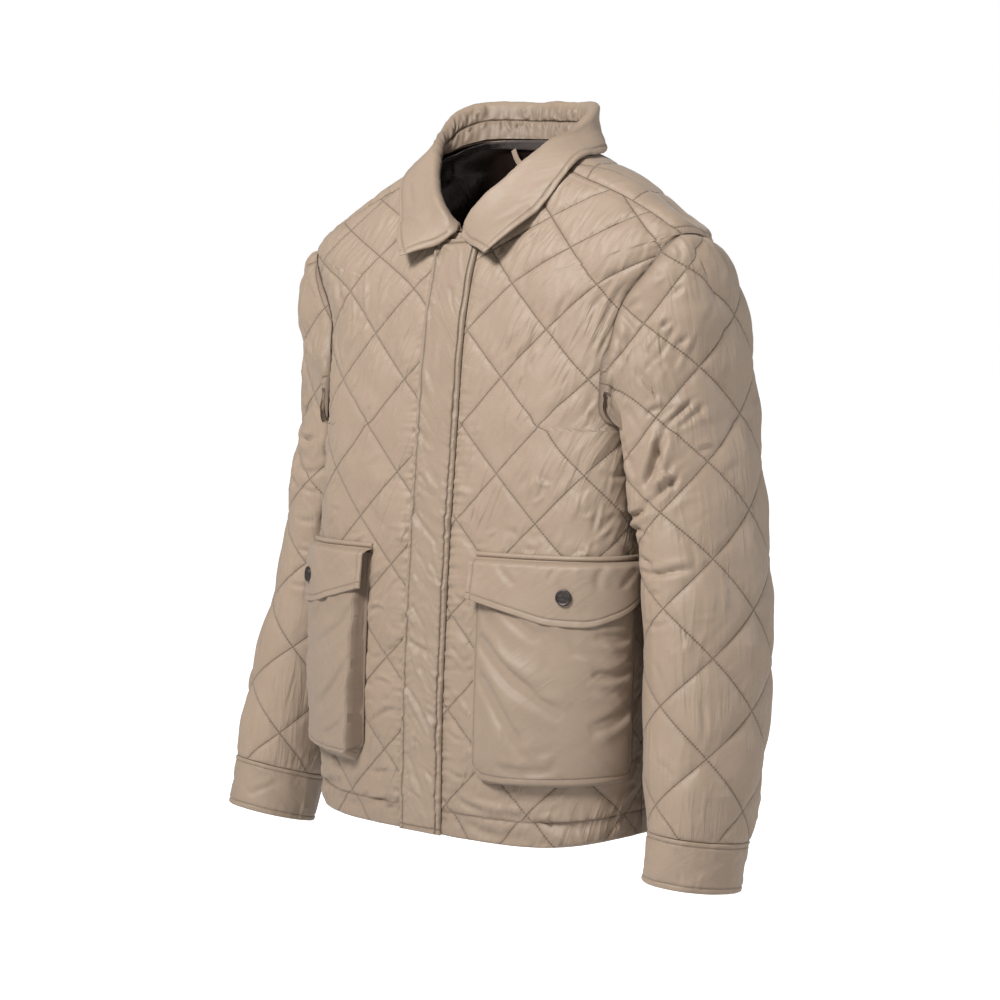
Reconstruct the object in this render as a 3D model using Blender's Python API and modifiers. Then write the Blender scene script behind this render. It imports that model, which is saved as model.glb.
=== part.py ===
"""Quilted jacket, filled out as when worn: metres, +Z up, -Y to the front, +X to the wearer's left.

The origin lies between the shoulders, level with the lower edge of the neck. Every cloth piece is a
wall with an inner and an outer face, worked out from the ring and seam tables below, so that pieces
meet edge to edge along the seams and everything sewn on a panel follows that panel, moved out.
"""
import bmesh
import bpy
from mathutils import Matrix, Vector
import math
import numpy as np

# ---- sizes, metres -------------------------------------------------------
WALL = 0.0040          # quilted cloth: shell, wadding and backing together
GAP = 0.0003           # left between pieces at a seam

# Trunk, inner face, as level rings. level 0 is the hem and 1 the neck seam.
# level, z front, z side, z back, half width, front depth, back depth, front power, back power, z power front, z power back, side pinch
TRUNK = np.array([
    (0.00, -0.663, -0.653, -0.660, 0.193, 0.114, 0.122, 3.2, 2.4, 6.0, 2.5, 0.000),
    (0.15, -0.558, -0.553, -0.557, 0.203, 0.112, 0.122, 3.3, 2.4, 3.0, 2.5, 0.012),
    (0.35, -0.421, -0.420, -0.422, 0.210, 0.104, 0.120, 3.4, 2.4, 3.0, 2.5, 0.022),
    (0.58, -0.268, -0.268, -0.270, 0.206, 0.090, 0.118, 3.4, 2.4, 3.0, 2.5, 0.028),
    (0.72, -0.182, -0.172, -0.165, 0.207, 0.081, 0.114, 2.8, 2.4, 3.0, 2.5, 0.000),
    (0.85, -0.128, -0.086, -0.086, 0.241, 0.070, 0.098, 2.4, 2.3, 2.6, 3.0, 0.000),
    (0.93, -0.102, -0.034, -0.027, 0.160, 0.062, 0.083, 2.1, 2.1, 2.6, 3.0, 0.000),
    (1.00, -0.082, -0.004,  0.018, 0.082, 0.055, 0.066, 2.0, 2.0, 2.4, 2.4, 0.000),
])
TRUNK_COLUMNS = dict(zf=1, zs=2, zb=3, w=4, df=5, db=6, pf=7, pb=8, mf=9, mb=10, pinch=11)
PINCH_MIDDLE, PINCH_REACH = 0.012, 0.062


def pchip(xs, ys, x):
    """Monotone cubic through the table (xs, ys), read at x."""
    xs, ys, x = np.asarray(xs, float), np.asarray(ys, float), np.asarray(x, float)
    h = np.diff(xs)
    d = np.diff(ys) / h
    m = np.zeros_like(ys)
    m[0], m[-1] = d[0], d[-1]
    for i in range(1, len(xs) - 1):
        if d[i - 1] * d[i] > 0:
            w1, w2 = 2 * h[i] + h[i - 1], h[i] + 2 * h[i - 1]
            m[i] = (w1 + w2) / (w1 / d[i - 1] + w2 / d[i])
    i = np.clip(np.searchsorted(xs, x) - 1, 0, len(h) - 1)
    s = np.clip((x - xs[i]) / h[i], 0, 1)
    return ((2 * s**3 - 3 * s**2 + 1) * ys[i] + (s**3 - 2 * s**2 + s) * h[i] * m[i]
            + (-2 * s**3 + 3 * s**2) * ys[i + 1] + (s**3 - s**2) * h[i] * m[i + 1])


def unit(v):
    return v / np.maximum(np.linalg.norm(v, axis=-1, keepdims=True), 1e-12)


def trunk(t, th):
    """Inner face of the trunk at level t and polar angle th (0 wearer's left, -pi/2 front, pi/2 back)."""
    t, th = np.broadcast_arrays(np.asarray(t, float), np.asarray(th, float))
    g = {k: pchip(TRUNK[:, 0], TRUNK[:, i], t) for k, i in TRUNK_COLUMNS.items()}
    c, s = np.cos(th), np.sin(th)
    front = s < 0
    p = np.where(front, g["pf"], g["pb"])
    d = np.where(front, g["df"], g["db"])
    r = (np.abs(c / g["w"]) ** p + np.abs(s / d) ** p) ** (-1 / p)
    x, y = r * c, r * s
    k = np.minimum(np.abs(x) / g["w"], 1) ** np.where(front, g["mf"], g["mb"])
    z = g["zs"] * k + np.where(front, g["zf"], g["zb"]) * (1 - k)
    x = x - np.sign(x) * g["pinch"] * np.exp(-(((y - PINCH_MIDDLE) / PINCH_REACH) ** 2)) * np.clip(np.abs(x) / (0.6 * g["w"]), 0, 1) ** 2
    return np.stack([x, y, z], -1)


def trunk_normal(t, th):
    e = 1e-3
    du = trunk(t, th + e) - trunk(t, th - e)
    dv = trunk(np.minimum(t + e, 1), th) - trunk(np.maximum(t - e, 0), th)
    return unit(np.cross(du, dv))


def trunk_off(t, th, off):
    t, th = np.broadcast_arrays(np.asarray(t, float), np.asarray(th, float))
    return trunk(t, th) + np.asarray(off)[..., None] * trunk_normal(t, th)


def smooth(x):
    x = np.clip(x, 0, 1)
    return x * x * (3 - 2 * x)


def level_at(z):
    """Level whose front is at height z."""
    t = np.linspace(0, 1, 801)
    return np.interp(z, pchip(TRUNK[:, 0], TRUNK[:, 1], t), t)


RING_ANGLES = np.radians(np.linspace(-90, 90, 721))


def ring_arcs(t):
    """Arc length from the centre front to each of RING_ANGLES along the half ring at level t."""
    P = trunk(t, RING_ANGLES)
    return np.concatenate([[0], np.cumsum(np.linalg.norm(np.diff(P, axis=0), axis=1))])


def angle_at(t, a):
    """Polar angle at arc length a from the centre front, at level t."""
    return np.interp(a, ring_arcs(t), RING_ANGLES)


def arc_at(t, th):
    return np.interp(th, RING_ANGLES, ring_arcs(t))


# ---- seams on the trunk --------------------------------------------------
LEVEL_ARM, LEVEL_SHOULDER = 0.575, 0.848      # underarm, shoulder point
SIDE_ANGLE = math.radians(-6)                  # side seam
# way round the armhole (0 underarm, 1 shoulder), front angle, back angle, degrees
ARMHOLE = np.array([
    (0.00, -6.0, -6.0),
    (0.10, -14.0, 3.0),
    (0.22, -18.0, 10.0),
    (0.38, -17.5, 15.5),
    (0.51, -15.5, 17.0),
    (0.63, -13.3, 16.0),
    (0.74, -10.2, 12.5),
    (0.82, -8.3, 8.5),
    (0.91, -6.0, 2.0),
    (1.00, -4.4, -4.4),
])
# level, angle of the shoulder seam
SHOULDER = np.array([
    (0.848, -4.4),
    (0.866, -6.2),
    (0.914, -7.4),
    (0.955, -9.6),
    (1.000, -12.0),
])


def arm_level(u):
    return LEVEL_ARM + (LEVEL_SHOULDER - LEVEL_ARM) * (1 - np.cos(np.pi * u)) / 2


def arm_way(t):
    f = np.clip((t - LEVEL_ARM) / (LEVEL_SHOULDER - LEVEL_ARM), 0, 1)
    return np.arccos(1 - 2 * f) / np.pi


def edge_angle(t, back):
    """Angle of a front or back panel's side edge at level t: side seam, armhole, shoulder seam."""
    if t <= LEVEL_ARM:
        return SIDE_ANGLE
    if t < LEVEL_SHOULDER:
        return math.radians(float(pchip(ARMHOLE[:, 0], ARMHOLE[:, 2 if back else 1], arm_way(t))))
    return math.radians(float(pchip(SHOULDER[:, 0], SHOULDER[:, 1], t)))


# ---- sleeves -------------------------------------------------------------
# z, centre x, centre y, half width x, half depth y, rise outward, rise forward
SLEEVE = {
    "left": np.array([
        (-0.290, 0.211, 0.024, 0.060, 0.076, 0.45, 0.00),
        (-0.360, 0.233, 0.016, 0.054, 0.070, 0.15, 0.00),
        (-0.430, 0.247, 0.011, 0.051, 0.068, 0.02, 0.02),
        (-0.515, 0.256, 0.000, 0.050, 0.064, 0.00, 0.05),
        (-0.590, 0.262, -0.014, 0.047, 0.057, -0.03, 0.09),
        (-0.643, 0.266, -0.024, 0.041, 0.049, -0.05, 0.12),
        (-0.690, 0.262, -0.030, 0.040, 0.046, -0.05, 0.12),
    ]),
    "right": np.array([
        (-0.290, 0.211, 0.024, 0.060, 0.076, 0.45, 0.00),
        (-0.360, 0.232, 0.015, 0.051, 0.069, 0.15, 0.00),
        (-0.430, 0.245, 0.009, 0.047, 0.066, 0.03, 0.04),
        (-0.515, 0.263, -0.009, 0.048, 0.062, 0.05, 0.12),
        (-0.590, 0.274, -0.029, 0.043, 0.054, 0.09, 0.20),
        (-0.640, 0.281, -0.042, 0.040, 0.048, 0.11, 0.25),
        (-0.690, 0.285, -0.054, 0.038, 0.045, 0.11, 0.25),
    ]),
}
CUFF_TOP = {"left": -0.643, "right": -0.640}
CUFF_END = -0.690
# round the armhole, degrees: turn of the sleeve away from the trunk's surface, handle at the seam and at the first free ring in spans
CAP = np.array([
    (-90, 165, 0.55, 0.95),
    (-60, 155, 0.55, 0.95),
    (-25, 80, 0.60, 0.95),
    (10, 35, 0.75, 0.95),
    (50, 55, 0.75, 0.95),
    (90, 76, 0.66, 0.90),
    (130, 78, 0.68, 0.90),
    (170, 60, 0.66, 0.95),
    (205, 80, 0.60, 0.95),
    (240, 155, 0.55, 0.95),
    (270, 165, 0.55, 0.95),
])
SIGN = {"left": 1.0, "right": -1.0}


def arm_loop(al):
    """Armhole point, trunk normal and in-surface direction into the hole, for the wearer's left. al: -90 deg underarm, 0 front, 90 shoulder, 180 back."""
    def at(al):
        d = (np.degrees(al) + 90) % 360
        back = d > 180
        u = np.where(back, (360 - d) / 180, d / 180)
        th = np.radians(np.where(back, pchip(ARMHOLE[:, 0], ARMHOLE[:, 2], u), pchip(ARMHOLE[:, 0], ARMHOLE[:, 1], u)))
        return arm_level(u), th
    t, th = at(al)
    P, n = trunk(t, th), trunk_normal(t, th)
    e = math.radians(4)
    tau = unit(trunk(*at(al + e)) - trunk(*at(al - e)))
    into = unit(np.cross(n, tau))
    tc, thc = np.asarray(0.71), np.asarray(0.0)
    middle = trunk(tc, thc)
    into = into * np.sign(np.sum(into * (middle - P), -1, keepdims=True))
    return P, n, into


def sleeve_ring(side, z, al):
    """Free ring of the sleeve's inner face round height z."""
    g = [pchip(-SLEEVE[side][:, 0], SLEEVE[side][:, i], -np.asarray(z, float)) for i in range(1, 7)]
    cx, cy, rx, ry, tx, ty = g
    dx, dy = rx * np.sin(al), -ry * np.cos(al)
    return np.stack([cx + dx, cy + dy, z + tx * dx - ty * dy], -1)


_side_lines = {}


def trunk_side(y, z):
    """Half width of the trunk's inner face at depth y and height z."""
    y, z = np.broadcast_arrays(np.asarray(y, float), np.asarray(z, float))
    if not _side_lines:
        ts = np.linspace(0, 0.85, 86)
        ys = np.linspace(-0.13, 0.13, 131)
        th = np.radians(np.linspace(-88, 88, 353))
        X = []
        Z = []
        for t in ts:
            P = trunk(t, th)
            X.append(np.interp(ys, P[:, 1], P[:, 0]))
            Z.append(np.interp(ys, P[:, 1], P[:, 2]))
        _side_lines.update(y=ys, X=np.array(X), Z=np.array(Z))
    s = _side_lines
    f = np.clip((y - s["y"][0]) / (s["y"][1] - s["y"][0]), 0, len(s["y"]) - 1.001)
    j = f.astype(int)
    f = f - j
    out = np.zeros(y.shape)
    for col in np.unique(j):
        m = j == col
        out[m] = ((1 - f[m]) * np.interp(z[m], s["Z"][:, col], s["X"][:, col])
                  + f[m] * np.interp(z[m], s["Z"][:, col + 1], s["X"][:, col + 1]))
    return out


SLEEVE_CLEAR = 2 * WALL + 0.0032      # sleeve's inner face to trunk's inner face, where the two lie together
POCKET_ROOM = 0.0100                   # more of it beside the pockets
CAP_Z = -0.290
UNDERARM_ROOM = 0.0020                 # more of the seam's gap where the sleeve turns back


def cap_at(column, al):
    return pchip(CAP[:, 0], CAP[:, column], (np.degrees(al) + 90) % 360 - 90)


def sleeve_start(al, gap=GAP):
    """At the armhole: start of the sleeve's inner face, its direction and its outward normal."""
    al = np.asarray(al, float)
    A, n, into = arm_loop(al)
    b = np.radians(cap_at(1, al))[..., None]
    T, N = 0, 0
    for turn, share in ((-0.44, 1), (-0.22, 2), (0.0, 3), (0.22, 2), (0.44, 1)):      # evens out the corner at the shoulder
        _, n2, into2 = arm_loop(al + turn)
        b2 = np.radians(cap_at(1, al + turn))[..., None]
        T = T + share * (np.cos(b2) * into2 + np.sin(b2) * n2)
        N = N + share * (-np.sin(b2) * into2 + np.cos(b2) * n2)
    T = unit(T)
    N = unit(N - T * np.sum(N * T, -1, keepdims=True))
    O = A + n * (WALL + (gap + UNDERARM_ROOM) * np.sin(b / 2)) + into * (gap * np.cos(b / 2))
    return O - WALL * N, T, N


def sleeve(side, v, al):
    """Inner face of a sleeve. v: 0 armhole .. 1 first free ring, then 1 + depth below it in metres * 10. Wearer's left, mirrored for the right."""
    v, al = np.broadcast_arrays(np.asarray(v, float), np.asarray(al, float))
    P0, T0, N0 = sleeve_start(al)
    R = sleeve_ring(side, CAP_Z + 0 * al, al)
    R2 = sleeve_ring(side, CAP_Z - 0.02 + 0 * al, al)
    T1 = unit(R2 - R)
    span = np.linalg.norm(R - P0, axis=-1, keepdims=True)
    L0 = span * cap_at(2, al)[..., None]
    L1 = span * cap_at(3, al)[..., None]
    s = np.clip(v, 0, 1)[..., None]
    H = ((2 * s**3 - 3 * s**2 + 1) * P0 + (s**3 - 2 * s**2 + s) * T0 * L0 + (-2 * s**3 + 3 * s**2) * R + (s**3 - s**2) * T1 * L1)
    low = sleeve_ring(side, CAP_Z - np.maximum(v - 1, 0) / 10, al)
    P = np.where((v <= 1)[..., None], H, low)
    # the inner side keeps clear of the trunk's side
    x, y, z = P[..., 0], P[..., 1], P[..., 2]
    weight = smooth((-0.226 - z) / 0.03) * smooth((-np.sin(al) + 0.75) / 0.5) * smooth(v / 0.12)
    need = trunk_side(y, z) + SLEEVE_CLEAR + POCKET_ROOM * smooth((-0.010 - y) / 0.02) * smooth((-0.345 - z) / 0.025) * smooth((z + 0.640) / 0.025)
    short = need - x
    push = (short + np.sqrt(short**2 + 0.005**2)) / 2 * weight
    P = P.copy()
    P[..., 0] = x + push
    return P


def sleeve_normal(side, v, al):
    e = 2e-3
    dv = sleeve(side, v + e, al) - sleeve(side, np.maximum(v - e, 0), al)
    da = sleeve(side, v, al + 0.01) - sleeve(side, v, al - 0.01)
    return unit(np.cross(dv, da))


# ---- pieces --------------------------------------------------------------
PLACKET_HALF = 0.027       # half the fly's width
PLACKET_TOP = -0.0890      # its upper end
PLACKET_WALL = 0.0022
HEM_LINE = 0.024           # hem facing's depth
LINING, LINING_SEAT = 0.0010, 0.0023
TAPE_WIDTH, TAPE_WALL = 0.0055, 0.0009
SEAT = 0.0012              # room under a piece that shares its panel's columns
POCKET_SEAT = 0.0022       # room under one that doesn't

# side, nearer edge from the centre front, width, upper end, lower end, stand near the front, stand at the side
POCKET = {
    "left": dict(start=0.066, width=0.164, top=-0.3965, foot=-0.6050, near=0.0150, far=0.0030),
    "right": dict(start=0.080, width=0.150, top=-0.3965, foot=-0.6050, near=0.0170, far=0.0030),
}
POCKET_WALL = 0.0014
FLAP_TOP, FLAP_STRIP = -0.3865, 0.0055
FLAP_WALL = 0.0022
# share of the flap's width, drop of its lower edge below the flap's top
FLAP_EDGE = np.array([
    (0.00, 0.040),
    (0.30, 0.051),
    (0.55, 0.060),
    (0.70, 0.061),
    (0.85, 0.053),
    (1.00, 0.036),
])
SNAP_AT, SNAP_Z = 0.60, -0.4250       # share of the flap's width, height
SNAP_RADIUS, SNAP_HEIGHT = 0.0079, 0.0024

# Collar, wearer's left half. share of the way to the centre back, angle on the neck ring, roll x, y, z, leaf edge x, y, z
COLLAR = np.array([
    (0.00, -88.0, 0.0040, -0.0565, -0.0745, 0.0560, -0.0880, -0.1030),
    (0.10, -74.0, 0.0185, -0.0590, -0.0570, 0.0665, -0.0800, -0.0925),
    (0.20, -56.0, 0.0300, -0.0545, -0.0445, 0.0790, -0.0680, -0.0790),
    (0.30, -40.0, 0.0450, -0.0410, -0.0300, 0.0905, -0.0520, -0.0650),
    (0.40, -26.0, 0.0590, -0.0260, -0.0130, 0.1000, -0.0360, -0.0510),
    (0.50, -10.0, 0.0715, -0.0090, 0.0040, 0.1075, -0.0170, -0.0340),
    (0.60, 6.0, 0.0825, 0.0075, 0.0190, 0.1110, 0.0040, -0.0170),
    (0.70, 24.0, 0.0880, 0.0260, 0.0350, 0.1080, 0.0300, -0.0060),
    (0.80, 45.0, 0.0770, 0.0480, 0.0480, 0.0930, 0.0570, -0.0010),
    (0.90, 68.0, 0.0450, 0.0680, 0.0560, 0.0540, 0.0800, 0.0000),
    (1.00, 90.0, 0.0000, 0.0750, 0.0590, 0.0000, 0.0880, 0.0000),
])
COLLAR_WALL, STAND_WALL = 0.0028, 0.0022
COLLAR_STEPS = 16          # sections on each half
STAND_SHARE = 0.50         # where the inner collar seam lies between neck seam and roll

HANGER_HALF, HANGER_DROP, HANGER_WIDTH, HANGER_WALL = 0.034, 0.018, 0.0065, 0.0012

# base colour (linear), roughness, metallic
FINISH = {
    "cloth": ((0.42, 0.34, 0.27, 1.0), 0.55, 0.0),
    "lining": ((0.018, 0.014, 0.013, 1.0), 0.45, 0.0),
    "tape": ((0.075, 0.062, 0.060, 1.0), 0.75, 0.0),
    "snap": ((0.10, 0.085, 0.078, 1.0), 0.38, 1.0),
}

for old in list(bpy.data.objects):
    bpy.data.objects.remove(old, do_unlink=True)
pieces = bpy.data.collections.new("quilted_jacket")
bpy.context.scene.collection.children.link(pieces)


def material_for(name, finish):
    colour, rough, metal = FINISH[finish]
    mat = bpy.data.materials.new(name)
    mat.use_nodes = True
    shader = mat.node_tree.nodes["Principled BSDF"]
    shader.inputs["Base Color"].default_value = colour
    shader.inputs["Roughness"].default_value = rough
    shader.inputs["Metallic"].default_value = metal
    return mat


def new_object(name, bm, finish):
    mesh = bpy.data.meshes.new(name)
    bm.to_mesh(mesh)
    bm.free()
    obj = bpy.data.objects.new(name, mesh)
    pieces.objects.link(obj)
    mesh.materials.append(material_for(name, finish))
    return obj


def wall(name, inner, outer, finish, tube=False, flip=False):
    """A closed wall between two point grids (rows, columns, xyz) of the same size; tube joins the last column to the first.

    Each cell is split along its shorter diagonal, the same way on both faces, because the rows lean over near the armholes.
    """
    rows, cols = inner.shape[:2]
    bm = bmesh.new()
    vi = [[bm.verts.new(p) for p in row] for row in inner]
    vo = [[bm.verts.new(p) for p in row] for row in outer]
    quads = []
    last = cols if tube else cols - 1
    for i in range(rows - 1):
        for j in range(last):
            k = (j + 1) % cols
            straight = np.linalg.norm(outer[i, j] - outer[i + 1, k]) <= np.linalg.norm(outer[i, k] - outer[i + 1, j])
            for v, turn in ((vo, 1), (vi, -1)):
                a, b, c, d = v[i][j], v[i][k], v[i + 1][k], v[i + 1][j]
                halves = ((a, b, c), (a, c, d)) if straight else ((a, b, d), (b, c, d))
                quads += [half[::turn] for half in halves]
    for j in range(last):
        k = (j + 1) % cols
        quads.append((vi[0][j], vi[0][k], vo[0][k], vo[0][j]))
        quads.append((vo[-1][j], vo[-1][k], vi[-1][k], vi[-1][j]))
    if not tube:
        for i in range(rows - 1):
            quads.append((vo[i][0], vo[i + 1][0], vi[i + 1][0], vi[i][0]))
            quads.append((vi[i][-1], vi[i + 1][-1], vo[i + 1][-1], vo[i][-1]))
    for q in quads:
        bm.faces.new(q[::-1] if flip else q)
    return new_object(name, bm, finish)


def mirrored(grid):
    return grid * np.array([-1.0, 1.0, 1.0])


# ways round the armhole that the panels' rows and the sleeves' columns share
ARM_WAYS = (0.12, 0.25, 0.38, 0.50, 0.62, 0.75, 0.88, 1.0)
LOW_LEVELS = (0.0, 0.036, 0.085, 0.17, 0.26, 0.345, 0.40, 0.46, 0.52, LEVEL_ARM)
TOP_LEVELS = (0.880, 0.912, 0.943, 0.972, 1.0)
# rows of the panels: level at the centre, level at the side edge. Beside the armhole they fan out evenly round it.
ROWS = [(t, t) for t in LOW_LEVELS]
ROWS += [(LEVEL_ARM + (LEVEL_SHOULDER - LEVEL_ARM) * u, float(arm_level(u))) for u in ARM_WAYS]
ROWS += [(t, t) for t in TOP_LEVELS]
FRONT_SHARES = (0.0, 0.16, 0.33, 0.50, 0.66, 0.80, 0.91, 1.0)
BACK_SHARES = (0.0, 0.17, 0.34, 0.50, 0.65, 0.79, 0.91, 1.0)


def front_row(row, off):
    """A front panel's row: closing edge, fly edge, then on to the side edge."""
    middle, side = row
    end = edge_angle(side, False)
    points = [trunk_off(middle, angle_at(middle, GAP / 2), off)]
    for share in FRONT_SHARES:
        t = middle + (side - middle) * float(smooth(share))
        a = PLACKET_HALF + share * (arc_at(t, end) - GAP / 2 - PLACKET_HALF)
        points.append(trunk_off(t, angle_at(t, a), off))
    return points


def back_row(row, off):
    """Half a back row, from the centre to the side edge."""
    middle, side = row
    start = edge_angle(side, True)
    points = []
    for share in BACK_SHARES:
        t = middle + (side - middle) * float(smooth(share))
        whole = ring_arcs(t)[-1]
        a = whole - share * (whole - arc_at(t, start) - GAP / 2)
        points.append(trunk_off(t, angle_at(t, a), off))
    return points


def front_grid(off, rows=ROWS):
    return np.array([front_row(row, off) for row in rows])


def back_grid(off, rows=ROWS, trim=0.0):
    """The back's points, moved out by off; trim takes that much off its sides, along the panel's own facets."""
    half = np.array([back_row(row, off) for row in rows])
    half[:, -1] += unit(half[:, -2] - half[:, -1]) * trim
    return np.concatenate([half[:, ::-1], mirrored(half[:, 1:])], axis=1)


inner, outer = front_grid(0.0), front_grid(WALL)
wall("front_left", inner, outer, "cloth")
wall("front_right", mirrored(inner), mirrored(outer), "cloth", flip=True)
wall("back", back_grid(0.0), back_grid(WALL), "cloth")
LINING_ROWS = ROWS[1:-1] + [(0.99, 0.99)]
wall("lining_back", back_grid(-LINING_SEAT - LINING, LINING_ROWS, 0.005), back_grid(-LINING_SEAT, LINING_ROWS, 0.005), "lining")

# fly placket over both closing edges
TOP_LEVEL = float(level_at(PLACKET_TOP))
FLY_LEVELS = [t for t, _ in ROWS if t < TOP_LEVEL - 0.012] + [TOP_LEVEL]


def fly_grid(off):
    rows = []
    for t in FLY_LEVELS:
        arcs = ring_arcs(t)
        half = trunk_off(t, np.interp([0.0, PLACKET_HALF], arcs, RING_ANGLES), off)
        rows.append(np.concatenate([mirrored(half[::-1])[:1], half]))
    return np.array(rows)


low = WALL + SEAT
wall("placket", fly_grid(low), fly_grid(low + PLACKET_WALL), "cloth")


# ---- sleeves and cuffs ---------------------------------------------------
SLEEVE_ROWS = [0.0, 0.22, 0.45, 0.70, 1.0, 1.35, 1.8, 2.3, 2.8, 3.2]
FORE = [-90.0] + [-90 + 180 * u for u in ARM_WAYS]
AROUND = np.radians(FORE + [180 - a for a in FORE[-2:0:-1]])     # columns meet the panels' rows at the armhole


def tube_grid(side, rows, off):
    return np.array([sleeve(side, v, AROUND) + off * sleeve_normal(side, v, AROUND) for v in rows])


for side in ("left", "right"):
    end = 1 + (CAP_Z - CUFF_TOP[side]) * 10
    rows = SLEEVE_ROWS + [end]
    inner, outer = tube_grid(side, rows, 0.0), tube_grid(side, rows, WALL)
    start, _, out_of = sleeve_start(AROUND)
    inner[0], outer[0] = start, start + WALL * out_of      # the wall's end lies on the panels' edge
    cuff_rows = [end + 0.006, end + 0.2, end + (CUFF_TOP[side] - CUFF_END) * 10]
    ci, co = tube_grid(side, cuff_rows, 0.0008), tube_grid(side, cuff_rows, WALL - 0.0006)
    if side == "right":
        inner, outer, ci, co = mirrored(inner), mirrored(outer), mirrored(ci), mirrored(co)
    wall("sleeve_" + side, inner, outer, "cloth", tube=True, flip=side == "left")
    wall("cuff_" + side, ci, co, "cloth", tube=True, flip=side == "left")


# ---- collar --------------------------------------------------------------
def collar_sections(steps):
    """Neck, roll and leaf-edge points along the whole collar, from the wearer's left end round the back to the right end."""
    s = np.linspace(0, 1, steps + 1)
    col = [pchip(COLLAR[:, 0], COLLAR[:, i], s) for i in range(1, 8)]
    th = np.radians(col[0])
    neck = trunk(1.0, th)
    roll = np.stack(col[1:4], -1)
    edge = np.stack(col[4:7], -1)
    return s, th, neck, roll, edge


_near = {}


def clear_of_trunk(P, need):
    """Moves points out along the trunk's normal until they are `need` from its inner face."""
    if not _near:
        t, th = np.meshgrid(np.linspace(0.80, 1.0, 61), np.radians(np.linspace(-90, 90, 241)), indexing="ij")
        Q, n = trunk(t, th).reshape(-1, 3), trunk_normal(t, th).reshape(-1, 3)
        _near.update(Q=np.concatenate([Q, mirrored(Q)]), n=np.concatenate([n, mirrored(n)]))
    out = P.copy()
    for _ in range(3):
        d = np.linalg.norm(out[:, None] - _near["Q"][None], axis=2)
        k = d.argmin(1)
        n = _near["n"][k]
        height = np.sum((out - _near["Q"][k]) * n, 1)
        out += np.maximum(need - height, 0)[:, None] * n
    return out


def leaf_need(P):
    """Room under the leaf's middle: the panel's wall, and the fly near the front."""
    fly = smooth((0.040 - np.abs(P[:, 0])) / 0.012) * (P[:, 1] < 0)
    return WALL + 0.0020 + COLLAR_WALL / 2 + fly * (SEAT + PLACKET_WALL)


def leaf_row(neck, roll, edge, out, share):
    """Middle of the leaf's wall from the inner collar seam over the roll to the edge."""
    rise = np.linalg.norm(roll - neck)
    up = (roll - neck) / rise
    rho = min(0.0042, 0.30 * rise)
    edge = clear_of_trunk(edge[None], leaf_need(edge[None]))[0]
    out = unit(out - up * np.sum(out * up))
    top = roll + out * rho
    pts = [neck + (roll - neck) * share]
    for ang in (180, 130, 90, 45, 5):
        r = math.radians(ang)
        pts.append(top + rho * (math.cos(r) * out + math.sin(r) * up) - up * rho)
    b0 = pts[-1]
    L = np.linalg.norm(edge - b0)
    c1 = b0 - up * (0.25 * L) + out * 0.003
    c2 = edge - unit(edge - b0) * (0.35 * L) + out * 0.003
    for k in (0.25, 0.5, 0.75, 1.0):
        p = (1 - k) ** 3 * b0 + 3 * (1 - k) ** 2 * k * c1 + 3 * (1 - k) * k * k * c2 + k**3 * edge
        pts.append(clear_of_trunk(p[None], leaf_need(p[None]))[0])
    return np.array(pts)


def with_solidify(name, grid, thickness, finish):
    rows, cols = grid.shape[:2]
    bm = bmesh.new()
    v = [[bm.verts.new(p) for p in row] for row in grid]
    for i in range(rows - 1):
        for j in range(cols - 1):
            bm.faces.new((v[i][j], v[i + 1][j], v[i + 1][j + 1], v[i][j + 1]))
    obj = new_object(name, bm, finish)
    solid = obj.modifiers.new("wall", "SOLIDIFY")
    solid.thickness = thickness
    solid.offset = 0
    solid.use_even_offset = True
    return obj


s, th, neck, roll, edge = collar_sections(COLLAR_STEPS)
neck_n = trunk_normal(np.asarray(1.0), th)
neck_in = unit(trunk(1.0, th) - trunk(0.995, th))
neck = neck + neck_n * 0.0010 + neck_in * (COLLAR_WALL / 2 + 0.0010)
run = np.gradient(roll, axis=0)
outward = unit(np.cross(run, roll - neck))
half = np.array([leaf_row(neck[i], roll[i], edge[i], outward[i], STAND_SHARE) for i in range(len(s))])
leaf = np.concatenate([half, mirrored(half[-2::-1])])
with_solidify("collar_leaf", leaf, COLLAR_WALL, "cloth")
half = np.array([[neck[i] + (roll[i] - neck[i]) * k for k in (0.0, STAND_SHARE / 2, STAND_SHARE - 0.0009 / np.linalg.norm(roll[i] - neck[i]))] for i in range(len(s))])
stand = np.concatenate([half, mirrored(half[-2::-1])])
with_solidify("collar_stand", stand, STAND_WALL, "cloth")

# ---- neck tape and hanging loop -------------------------------------------
tape_low = float(np.interp(-TAPE_WIDTH, [-0.03, 0.0], [0.965, 1.0]))
TAPE_LEVELS = (0.985, 0.9985)
tape_th = np.radians(np.linspace(-30, 90, 13))
low = -LINING_SEAT - LINING - LINING_SEAT


def tape_grid(off):
    half = np.array([trunk_off(t, tape_th, off) for t in TAPE_LEVELS])
    return np.concatenate([half, mirrored(half[:, -2::-1])], axis=1)


wall("neck_tape", tape_grid(low - TAPE_WALL), tape_grid(low), "tape")

# the loop: a flat strip whose ends are sewn on the tape
steps = 14
way = np.linspace(-1, 1, steps + 1)
back_th = np.radians(np.linspace(20, 90, 141))
back_line = trunk_off(0.992, back_th, low - TAPE_WALL - 0.0022)
x_way = HANGER_HALF * np.abs(way) ** 0.75
y_way = np.interp(-x_way, -back_line[:, 0], back_line[:, 1])
z_way = np.interp(-x_way, -back_line[:, 0], back_line[:, 2])
line = np.stack([np.sign(way) * x_way, y_way - 0.0050 * (1 - way**2), z_way - HANGER_DROP * (1 - way**4)], -1)
tangent = unit(np.gradient(line, axis=0))
face = np.array([0.0, 1.0, 0.0])
across = unit(np.cross(tangent, face)) * (HANGER_WIDTH / 2)
strip = np.stack([line - across, line + across], axis=1)
with_solidify("hanger_loop", strip, HANGER_WALL, "cloth")


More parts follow.
